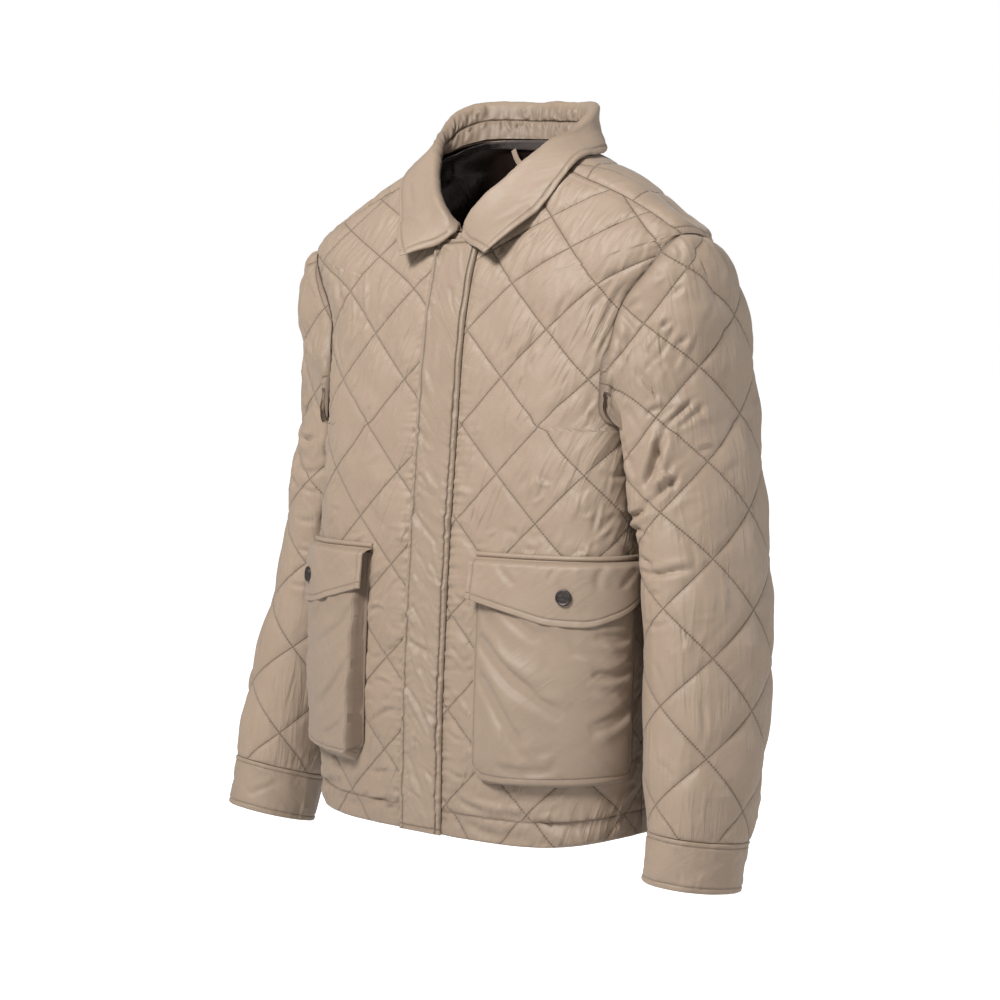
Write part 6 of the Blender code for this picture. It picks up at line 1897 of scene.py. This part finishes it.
def build_stand():
    P, s, k = collar_stand(0.0015)
    P = raised(P)
    N = grid_normals(P)
    centre = P[len(P) // 2, 1] - np.array([0, 0.05, 0])
    if np.sum(N[len(P) // 2, 1] * (centre - P[len(P) // 2, 1])) < 0:
        N = -N                                           # towards the neck, the side that shows
    Yc = run_across(P)
    top = Yc[:, -1:] - Yc
    along = run_down(P)
    Xc = along - along[-1:] / 2
    h = 0.0010 * ripple(Xc, 97.0, (0.0072, 0.0117, 0.0210)) * (np.exp(-top / 0.0090) + 0.6 * np.exp(-Yc / 0.006)) * rise(top, 0.0012) * rise(Yc, 0.0012)
    gathered = 0.22 + 0.78 * smooth((np.minimum(along, along[-1:] - along) - 0.095) / 0.05)
    pleats = streaks(Xc, Yc, 84, 250, 90.0, 20.0, 0.017, 0.0023, 0.0026, lambda x, y: float(y > float(Yc.max()) - 0.010))
    h += gathered * np.where(pleats < 0, -0.0008 * np.tanh(-pleats / 0.0008), 0.0026 * np.tanh(pleats / 0.0026)) * rise(top, 0.0010) * rise(Yc, 0.0012)
    h += 0.0012 * rise(top, 0.003) * rise(Yc, 0.003) - 0.0008 * np.exp(-top / 0.0012) + 0.0003 * bumpy(Xc, Yc, 0.02, 402)
    outer, inner = P + N * (STAND_WALL / 2 + h)[..., None], P - N * (STAND_WALL / 2)
    # painted shade over the whole stand
    obj = shell("collar_stand_cloth", outer, inner, {"Cloth": np.stack([Xc, Yc], -1)}, PLAIN_MAT, flip=leaf_flip(P, N), keep=3, shade=0.30)
    declare(obj, ["collar_stand"], Xc, Yc)
    j = P.shape[1] - 1
    stitch_mesh("stand_stitches", *row_stitches(outer[:, j] + N[:, j] * 0.0002, N[:, j], 0.0027))


# ---- lining, tape and loop ---------------------------------------------------------------
def build_lining():
    g = back_panel(0.0050)
    keep = (g["t"][:, 0] > 0.036) & (g["t"][:, 0] < 0.992)

    def both(v, sign=1):
        m = v * np.array([-1.0, 1.0, 1.0]) if v.ndim == 3 else v * sign
        return np.concatenate([v[:, ::-1], m[:, 1:]], axis=1)

    side = g["edge"] > 0.004
    cols = np.nonzero(side[keep].all(0))[0]
    P, N = g["P"][keep][:, cols], g["N"][keep][:, cols]
    X, Y = lay_out(dict(g, P=g["P"]), 6 / FINE)
    X, Y = X[keep][:, cols], Y[keep][:, cols]
    P, N, X, Y = both(P), both(N), both(X, -1), both(Y)
    P = raised(P, smooth((both(g["t"][keep][:, cols]) - 0.962) / 0.028))
    wave = 0.0006 * bumpy(X, Y, 0.09, 501)
    pull = streaks(X, Y, 91, 90, 75.0, 70.0, 0.085, 0.0070, 0.0016, lambda x, y: 0.3 + 0.7 * float(y > -0.2))
    hollow = shoulder_hollow(P, both(g["edge"][keep][:, cols]))
    off = -LINING_SEAT - np.clip(0.0010 + wave - pull, 0.0, 0.0060) - hollow
    outer, inner = P + N * (off - LINING)[..., None], P - N * (LINING_SEAT * 0.6 + hollow)[..., None]
    outer_n = outer
    obj = shell("back_lining", outer_n, inner, {"Cloth": np.stack([X, Y], -1)}, LINING_MAT, flip=True, keep=3)
    declare(obj, ["lining_back"], X, Y)


def build_tape():
    width = 0.0068
    t = np.linspace(0.9835, 0.9990, 9)
    th = np.radians(np.linspace(-36, 90, int(150 / FINE)))
    low = -LINING_SEAT - LINING - LINING_SEAT
    half = trunk(t[:, None], th[None, :])
    n = trunk_normal(t[:, None] + 0 * th, th[None, :] + 0 * t[:, None])
    P, N = np.concatenate([half, mirrored(half[:, -2::-1])], 1), np.concatenate([n, mirrored(n[:, -2::-1])], 1)
    lift = 0.0042 + 0.0055 * np.exp(-(((round_neck(P) - 168.0) / 28.0) ** 2))
    P = raised(P) + unit(P[-1:] - P[-2:-1]) * lift[..., None]
    Xc, Yc = run_across(P)[:1] + 0 * P[..., 0], run_down(P)
    edge = np.minimum(Yc, Yc[-1:] - Yc)
    h = 0.00020 * ripple(Xc, 98.0, (0.012, 0.021, 0.034))
    outer = P + N * (low - TAPE_WALL * (0.2 + 0.8 * rim(edge, 0.0006)) - h)[..., None]
    inner = P + N * (low + 0.0002)
    obj = shell("neck_tape_band", outer, inner, {"Cloth": np.stack([Xc, Yc], -1)}, TAPE_MAT, flip=True, keep=2)
    declare(obj, ["neck_tape"], Xc, Yc)


def build_loop():
    low = -LINING_SEAT - LINING - LINING_SEAT
    way = np.linspace(-1, 1, 121)
    back_th = np.radians(np.linspace(20, 90, 141))
    back_line = trunk_off(0.992, back_th, low - TAPE_WALL - 0.0022)
    x_way = HANGER_HALF * np.abs(way) ** 0.75
    y_way = np.interp(-x_way, -back_line[:, 0], back_line[:, 1])
    z_way = np.interp(-x_way, -back_line[:, 0], back_line[:, 2])
    line = np.stack([np.sign(way) * x_way, y_way - 0.0050 * (1 - way**2), z_way - HANGER_DROP * (1 - way**4)], -1)
    # even out the cusp that the middle of the table leaves
    for _ in range(30):
        line[1:-1] = 0.25 * line[:-2] + 0.5 * line[1:-1] + 0.25 * line[2:]
    run = np.concatenate([[0], np.cumsum(np.linalg.norm(np.diff(line, axis=0), axis=1))])
    at = np.linspace(0, run[-1], 90)
    line = raised(np.stack([np.interp(at, run, line[:, c]) for c in range(3)], 1))
    tangent = unit(np.gradient(line, axis=0))
    across = unit(np.cross(tangent, np.array([0.0, 1.0, 0.0])))
    out = unit(np.cross(tangent, across))
    out *= -np.sign(out[:, 1:2])
    w = lines(HANGER_WIDTH, 0.0006, start=True, end=True) - HANGER_WIDTH / 2
    P = line[:, None] + across[:, None] * w[None, :, None]
    N = np.repeat(out[:, None], len(w), 1)
    edge = HANGER_WIDTH / 2 - np.abs(w)
    h = -0.00025 * np.exp(-((edge - 0.0012) / 0.0004) ** 2)[None, :] + 0.00010 * ripple(run_down(P), 99.0, (0.004, 0.007, 0.012))
    outer = P + N * ((HANGER_WALL / 2 + h) * rim(edge, 0.0007)[None, :] + 0.00005)[..., None]
    inner = P - N * (HANGER_WALL / 2 * rim(edge, 0.0007)[None, :, None] + 0.00005)
    Xc, Yc = w[None, :] + 0 * P[..., 0], run_down(P)
    obj = shell("hanging_loop", outer, inner, {"Cloth": np.stack([Xc, Yc], -1)}, PLAIN_MAT, flip=leaf_flip(P, N), keep=2)
    declare(obj, ["hanger_loop"], Xc, Yc)
    sets = [row_stitches(outer[:, k], N[:, k], 0.0026) for k in (int(np.argmin(np.abs(w - m))) for m in (-HANGER_WIDTH / 2 + 0.0012, HANGER_WIDTH / 2 - 0.0012))]
    stitch_mesh("loop_stitches", *joined(sets))


# ---- pockets, flaps and snaps --------------------------------------------------------------
# in arc from the centre front and height
POCKET_CREASES = {
    "left": [
        (0.0730, -0.4660, 0.1060, -0.4950, 0.1640, -0.5370, 0.0062, -0.0046),
        (0.0735, -0.5030, 0.1030, -0.5330, 0.1310, -0.5790, 0.0060, -0.0038),
        (0.0980, -0.4360, 0.1200, -0.4510, 0.1420, -0.4660, 0.0050, -0.0022),
        (0.2220, -0.4600, 0.2060, -0.4640, 0.1900, -0.4600, 0.0040, -0.0024),
        (0.2230, -0.4900, 0.2060, -0.4980, 0.1880, -0.4960, 0.0044, -0.0030),
        (0.2220, -0.5250, 0.2080, -0.5400, 0.1860, -0.5500, 0.0050, -0.0028),
        (0.1000, -0.5850, 0.1300, -0.5900, 0.1600, -0.5860, 0.0040, -0.0016),
    ],
    "right": [
        (0.0860, -0.4500, 0.1080, -0.4760, 0.1480, -0.4960, 0.0056, -0.0030),
        (0.0870, -0.5000, 0.1060, -0.5300, 0.1360, -0.5560, 0.0056, -0.0036),
        (0.1300, -0.4300, 0.1440, -0.4560, 0.1620, -0.4740, 0.0050, -0.0020),
        (0.2180, -0.4700, 0.2020, -0.4780, 0.1860, -0.4740, 0.0044, -0.0024),
        (0.2200, -0.5300, 0.2020, -0.5360, 0.1840, -0.5300, 0.0046, -0.0024),
        (0.0880, -0.5560, 0.1040, -0.5740, 0.1300, -0.5840, 0.0044, -0.0024),
    ],
}
FLAP_CREASES = {
    "left": [
        (0.0980, -0.3960, 0.1060, -0.4060, 0.1180, -0.4160, 0.0032, -0.0009),
        (0.1560, -0.3950, 0.1530, -0.4040, 0.1500, -0.4120, 0.0026, -0.0008),
        (0.1950, -0.3950, 0.1900, -0.4060, 0.1920, -0.4180, 0.0030, -0.0010),
        (0.2200, -0.3970, 0.2120, -0.4080, 0.2080, -0.4180, 0.0028, -0.0010),
    ],
    "right": [
        (0.1080, -0.3960, 0.1180, -0.4040, 0.1260, -0.4140, 0.0032, -0.0008),
        (0.1850, -0.3950, 0.1900, -0.4040, 0.1960, -0.4140, 0.0030, -0.0009),
    ],
}


def build_pocket(side):
    p = POCKET[side]
    H = p["top"] - p["foot"]
    x = lines(p["width"], 0.0019, start=True, end=True, marks=(0.0026 if side == "left" else 0.0096, p["width"] - 0.0026)) / p["width"]
    z = lines(H, 0.0019, start=True, end=True, marks=(0.0092 if side == "left" else 0.0125,)) / H
    Z, XX = np.meshgrid(z, x, indexing="ij")
    inset = 0.10 * H * np.maximum(np.maximum(0, 1 - XX / 0.10), (XX - 0.90) / 0.10) ** 1.7
    height = p["foot"] + Z * H + inset * np.clip(1 - Z / 0.1, 0, 1)
    a = p["start"] + XX * p["width"]
    t, th = on_front(a, height)
    P, N = trunk(t, th), trunk_normal(t, th)
    to_near, to_far = XX * p["width"], (1 - XX) * p["width"]
    to_foot = Z * H
    e = np.minimum(np.minimum(to_near, to_far), to_foot)
    stand = pocket_stand(p, XX, height)
    if side == "left":
        up_near = smooth(to_near / 0.050) * 0.86 + 0.14 * smooth((to_near - 0.002) / 0.006)
        up = up_near * smooth((to_far - 0.001) / 0.010) * smooth((to_foot - 0.0004) / 0.0032)
    else:
        up = smooth((to_near - 0.0015) / 0.0055) * smooth((to_far - 0.001) / 0.012) * smooth((to_foot - 0.001) / 0.009)
    h = 0.0005 * bumpy(a, height, 0.06, 601 if side == "left" else 602)
    h += 1.55 * creases(a, height, POCKET_CREASES[side])
    h += streaks(a, height, 95 if side == "left" else 96, 60, -50.0, 40.0, 0.044, 0.0042, 0.00105)
    ends = smooth(e / 0.012)
    h = h * (0.15 + 0.85 * ends)
    sewing = np.minimum(np.abs(e - 0.0026), np.where(to_near > 0.004, np.abs(to_foot - 0.0092), 1.0))
    if side == "right":
        sewing = np.minimum(np.abs(to_near - 0.0096), np.where(to_near > 0.009, np.abs(to_foot - 0.0125), 1.0))
    h -= 0.0007 * np.exp(-(sewing / 0.0010) ** 2)
    h += 0.00045 * ripple(height + a, 101.0, (0.0050, 0.0080, 0.013)) * np.exp(-sewing / 0.0050) * rise(sewing, 0.0008)
    if side == "right":
        # the gusset's soft folds beside the fly
        up_it = np.clip(to_foot / H, 0, 1)
        for at, lean, key in ((0.0024, 0.0022, 105.0), (0.0046, -0.0012, 106.0), (0.0066, 0.0010, 107.0)):
            along = 0.55 + 0.45 * ripple(height, key, (0.030, 0.047, 0.071))
            h -= 0.0019 * along * np.exp(-(((to_near - at - lean * (up_it - 0.5)) / 0.0007) ** 2))
    seat = WALL + 0.0010
    off_in = seat + (POCKET_SEAT - 0.0010 + stand) * up
    face = off_in + POCKET_WALL + h * 1.0
    rimmed = rim(np.minimum(e, 1.0), 0.0011)
    off = np.maximum(off_in + 0.0001 + (face - off_in - 0.0001) * rimmed, off_in + 0.0001)
    outer, inner = P + N * off[..., None], P + N * (np.minimum(off_in, off - 0.0001))[..., None]
    Nn = N
    if side == "right":
        outer, inner, Nn = mirrored(outer), mirrored(inner), mirrored(N)
        # painted shade: slightly darker overall, much darker on the gusset beside the fly
        shade = 0.10 + 0.42 * smooth((0.0088 - to_near) / 0.0016)
    else:
        # painted shade: slightly darker overall, more towards the sleeve and near the foot
        shade = 0.09 + 0.30 * smooth((XX - 0.70) / 0.30) + 0.10 * smooth((0.03 - to_foot) / 0.02)
    # painted shadow in a band under the flap's edge
    shade = shade + 0.12 * np.exp(-np.maximum(p["top"] - 0.046 - height, 0) / 0.010) * (height < p["top"] - 0.03)
    obj = shell("patch_pocket_" + side, outer, inner, {"Cloth": np.stack([a, height], -1), "SewAndShade": sewing}, PLAIN_MAT, flip=side == "right", keep=3, shade=shade)
    # cut with the gussets' depth on three sides
    deep = p["near"] + 0.004
    w, l = p["width"] + deep + 0.006, H + deep
    declare(obj, ["pocket_" + side], size=(w, l), area=w * l * 0.98)
    sets = []
    near_at, foot_at = (0.0026, 0.0092) if side == "left" else (0.0096, 0.0125)
    for k, lowest_z in ((int(np.argmin(np.abs(x * p["width"] - near_at))), foot_at), (int(np.argmin(np.abs((1 - x) * p["width"] - 0.0026))), 0.020)):
        m = z * H > lowest_z
        sets.append(row_stitches(outer[m, k], Nn[m, k]))
    k = int(np.argmin(np.abs(z * H - foot_at)))
    k0 = int(np.argmin(np.abs(x * p["width"] - near_at)))
    sets.append(row_stitches(outer[k, k0:-3], Nn[k, k0:-3]))
    stitch_mesh("pocket_stitches_" + side, *joined(sets))


def build_flap(side):
    p = POCKET[side]
    x0, x1 = -0.018, 1.010
    wide = (x1 - x0) * p["width"]
    x = x0 + lines(wide, 0.0016, start=True, end=True, marks=(0.0062, wide - 0.0062)) / p["width"]
    strip = lines(FLAP_STRIP, 0.0009, start=True)
    depth = 0.052
    body = lines(depth, 0.0015, end=True, marks=(depth - 0.0062,)) / depth
    drop = pchip(FLAP_EDGE[:, 0], FLAP_EDGE[:, 1], np.clip(x, 0, 1))
    rows = [FLAP_TOP - s + 0 * x for s in strip] + [FLAP_TOP - FLAP_STRIP - b * drop for b in body[1:]]
    height = np.array(rows)
    a = (p["start"] + x * p["width"])[None, :] + 0 * height
    XX = x[None, :] + 0 * height
    t, th = on_front(a, height)
    P, N = trunk(t, th), trunk_normal(t, th)
    low = flap_off(p, XX, height)
    from_top = FLAP_TOP - height
    to_edge = (FLAP_TOP - FLAP_STRIP - drop)[None, :] * -1 + height
    sides = np.minimum((XX - x0), (x1 - XX)) * p["width"]
    e = np.minimum(np.minimum(to_edge, sides), from_top)
    seat = WALL + 0.0008
    k = smooth((from_top - 0.002) / 0.010)
    low = seat * (1 - k) + low * k + 0 * low
    h = 0.0005 * bumpy(a, height, 0.045, 611 if side == "left" else 612) * k
    h += 1.5 * creases(a, height, FLAP_CREASES[side]) + streaks(a, height, 97 if side == "left" else 98, 26, 60.0, 60.0, 0.024, 0.0030, 0.00045)
    sew = np.where(from_top > FLAP_STRIP + 0.001, np.minimum(np.abs(to_edge - 0.0062), np.abs(sides - 0.0062)), 1.0)
    sew = np.where((to_edge < 0.0055) & (sides < 0.0055), 1.0, sew)
    h -= 0.0007 * np.exp(-(sew / 0.0009) ** 2)
    h += 0.00030 * ripple(a + height, 103.0, (0.0045, 0.0075, 0.013)) * np.exp(-sew / 0.0040) * rise(sew, 0.0008)
    h -= 0.0018 * np.exp(-((from_top - FLAP_STRIP) / 0.0010) ** 2)
    h += 0.0006 * np.exp(-((from_top - 0.0028) / 0.0016) ** 2)
    r = rim(e, 0.0013)
    off = low + 0.0001 + (FLAP_WALL + h - 0.0001) * r
    outer, inner = P + N * off[..., None], P + N * low[..., None]
    Nn = N
    if side == "right":
        outer, inner, Nn = mirrored(outer), mirrored(inner), mirrored(N)
    # painted shade: flaps slightly darker, the left one more at its outer end
    obj = shell("pocket_flap_" + side, outer, inner, {"Cloth": np.stack([a, height], -1), "SewAndShade": np.minimum(sew, np.abs(from_top - FLAP_STRIP) * 0.7 + 0.0002)}, PLAIN_MAT, flip=side == "left", keep=3, shade=0.05 + 0.26 * smooth((XX - 0.78) / 0.22) * (side == "left"))
    declare(obj, ["flap_" + side], a, height)
    sets = []
    rowsel = int(np.argmin(np.abs(body * depth - (depth - 0.0062)))) + len(strip) - 1
    c0, c1 = int(np.argmin(np.abs((x - x0) * p["width"] - 0.0062))), int(np.argmin(np.abs((x1 - x) * p["width"] - 0.0062)))
    sets.append(row_stitches(outer[rowsel, c0:c1 + 1], Nn[rowsel, c0:c1 + 1], 0.0029))
    for c in (c0, c1):
        sets.append(row_stitches(outer[len(strip) + 1:rowsel + 1, c], Nn[len(strip) + 1:rowsel + 1, c], 0.0029))
    stitch_mesh("flap_stitches_" + side, *joined(sets))
    return outer, height, XX


SNAP_PROFILE = [
    # radius, height: a plain cap with a flat rim and a slightly hollow middle
    (0.0, 0.00195), (0.0012, 0.00192), (0.0026, 0.00184), (0.0040, 0.00176), (0.0050, 0.00172), (0.0055, 0.00172),
    (0.0058, 0.00186), (0.0061, 0.00212), (0.0064, 0.00228), (0.0068, 0.00234), (0.0072, 0.00226), (0.0075, 0.00206),
    (0.0077, 0.00172), (0.0078, 0.00130), (0.00775, 0.00070), (0.0074, 0.00030), (0.0068, 0.0),
]


def build_snap(side):
    p = POCKET[side]
    t = float(level_of(SNAP_Z))
    th = float(theta(t, p["start"] + SNAP_AT * p["width"]))
    seat = float(flap_off(p, np.asarray(SNAP_AT), np.asarray(SNAP_Z))) + FLAP_WALL + 0.0006
    at, n = trunk_off(t, th, seat), trunk_normal(np.asarray(t), np.asarray(th))
    if side == "right":
        at, n = at * [-1, 1, 1], n * [-1, 1, 1]
    prof = np.array(SNAP_PROFILE)
    # finer profile through the same points
    s = np.concatenate([[0], np.cumsum(np.linalg.norm(np.diff(prof, axis=0), axis=1))])
    ss = np.linspace(0, s[-1], 49)
    prof = np.stack([np.maximum(pchip(s, prof[:, 0], ss), 0), pchip(s, prof[:, 1], ss)], 1)
    turns = 64
    ang = np.linspace(0, 2 * np.pi, turns, endpoint=False)
    side_v = unit(np.cross(n, np.array([0.0, 0.0, 1.0])))
    up_v = np.cross(n, side_v)
    ring = prof[1:, 0][:, None, None] * (np.cos(ang)[None, :, None] * side_v + np.sin(ang)[None, :, None] * up_v) + prof[1:, 1][:, None, None] * n + at
    pts = np.concatenate([ring.reshape(-1, 3), (at + n * prof[0, 1])[None], (at + n * 0.0)[None]])
    A = np.arange((len(prof) - 1) * turns).reshape(-1, turns)
    B = np.roll(A, -1, axis=1)
    quads = np.stack([A[:-1], B[:-1], B[1:], A[1:]], -1).reshape(-1, 4)
    top, bottom = len(pts) - 2, len(pts) - 1
    fan = np.stack([np.full(turns, top), B[0], A[0]], -1)
    foot = np.stack([np.full(turns, bottom), A[-1], B[-1]], -1)
    made = np.cross(pts[quads[0, 1]] - pts[quads[0, 0]], pts[quads[0, 2]] - pts[quads[0, 0]])
    if np.sum(made * n) < 0:
        quads, fan, foot = quads[:, ::-1], fan[:, ::-1], foot[:, ::-1]
    # the top fan must turn the same way as the quads
    f0 = np.cross(pts[fan[0, 1]] - pts[fan[0, 0]], pts[fan[0, 2]] - pts[fan[0, 0]])
    if np.sum(f0 * n) < 0:
        fan = fan[:, ::-1]
    b0 = np.cross(pts[foot[0, 1]] - pts[foot[0, 0]], pts[foot[0, 2]] - pts[foot[0, 0]])
    if np.sum(b0 * n) > 0:
        foot = foot[:, ::-1]
    obj = mesh_from("snap_cap_" + side, pts, [(quads, 0), (fan, 0), (foot, 0)], materials=[METAL_MAT], sharp=45.0)
    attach(obj, "root")
    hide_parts("snap_" + side)


for side in ("left", "right"):
    build_front(side)
    build_sleeve(side)
    build_cuff(side)
    build_pocket(side)
    build_flap(side)
    build_snap(side)
build_back()
build_fly()
build_leaf()
build_stand()
build_lining()
build_tape()
build_loop()

# ---- floor, light and camera -----------------------------------------------------------
floor_mesh = bpy.data.meshes.new("floor")
F = 60.0
floor_mesh.from_pydata([(-F, -F, -0.96), (F, -F, -0.96), (F, F, -0.96), (-F, F, -0.96)], [], [(0, 1, 2, 3)])
floor = bpy.data.objects.new("floor", floor_mesh)
bpy.context.scene.collection.objects.link(floor)
ground = Nodes("pale_floor")
ground.put(ground.shader, "Base Color", ground.mix(ground.ramp(ground.noise(ground.add("TexCoord").outputs["Object"], 3.0), 0.3, 0.7), (0.80, 0.80, 0.80, 1), (0.82, 0.82, 0.82, 1)))
ground.shader.inputs["Roughness"].default_value = 0.9
ground.shader.inputs["Specular IOR Level"].default_value = 0.0
ground.shader.inputs["Emission Color"].default_value = (1, 1, 1, 1)
ground.put(ground.shader, "Emission Strength", ground.math("MULTIPLY", ground.add("LightPath").outputs["Is Camera Ray"], 0.85))
floor_mesh.materials.append(ground.mat)

scene = bpy.context.scene
world = bpy.data.worlds.new("studio")
world.use_nodes = True
sky = world.node_tree
room = sky.nodes["Background"]
room.inputs[0].default_value = (1.0, 1.0, 1.0, 1.0)
room.inputs[1].default_value = 0.34
paper = sky.nodes.new("ShaderNodeBackground")
paper.inputs[0].default_value = (1.0, 1.0, 1.0, 1.0)
paper.inputs[1].default_value = 1.0
seen = sky.nodes.new("ShaderNodeLightPath")
both_ways = sky.nodes.new("ShaderNodeMixShader")
sky.links.new(seen.outputs["Is Camera Ray"], both_ways.inputs[0])
sky.links.new(room.outputs[0], both_ways.inputs[1])
sky.links.new(paper.outputs[0], both_ways.inputs[2])
sky.links.new(both_ways.outputs[0], sky.nodes["World Output"].inputs[0])
scene.world = world
scene.view_settings.view_transform = "Standard"
scene.view_settings.look = "None"
scene.view_settings.exposure = 0.0
scene.view_settings.gamma = 1.0

AZIMUTH, TILT, FAR, PIXELS = math.radians(42), math.radians(3.61), 2.30, 2300.0
toward = np.array([math.sin(AZIMUTH), -math.cos(AZIMUTH), 0.0])
right_way = np.array([math.cos(AZIMUTH), math.sin(AZIMUTH), 0.0])
eye = toward * FAR + np.array([0, 0, -0.2]) - right_way * (2.0 / PIXELS * FAR)
view = -(toward * math.cos(TILT) + np.array([0, 0, math.sin(TILT)]))
camera = bpy.data.objects.new("camera", bpy.data.cameras.new("camera"))
scene.collection.objects.link(camera)
camera.data.sensor_width = 36.0
camera.data.lens = 36.0 * PIXELS / 1000.0
camera.location = Vector(eye)
camera.rotation_euler = Vector(view).to_track_quat("-Z", "Y").to_euler()
scene.camera = camera


def area_light(name, at, aim, size, power, colour=(1.0, 1.0, 1.0)):
    light = bpy.data.lights.new(name, "AREA")
    light.shape = "SQUARE"
    light.size = size
    light.energy = power
    light.color = colour
    obj = bpy.data.objects.new(name, light)
    obj.location = Vector(at)
    obj.rotation_euler = (Vector(aim) - Vector(at)).to_track_quat("-Z", "Y").to_euler()
    scene.collection.objects.link(obj)


up_way = np.array([0.0, 0.0, 1.0])
area_light("key", toward * 1.55 - right_way * 1.25 + up_way * 1.25, (0.0, 0.0, -0.30), 0.7, 92.0)
area_light("fill", toward * 0.4 + right_way * 2.6 + up_way * 0.3, (0.1, 0.0, -0.35), 1.3, 27.0)

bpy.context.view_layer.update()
for name, cut in CUTS.items():
    print("cut", name, cut)
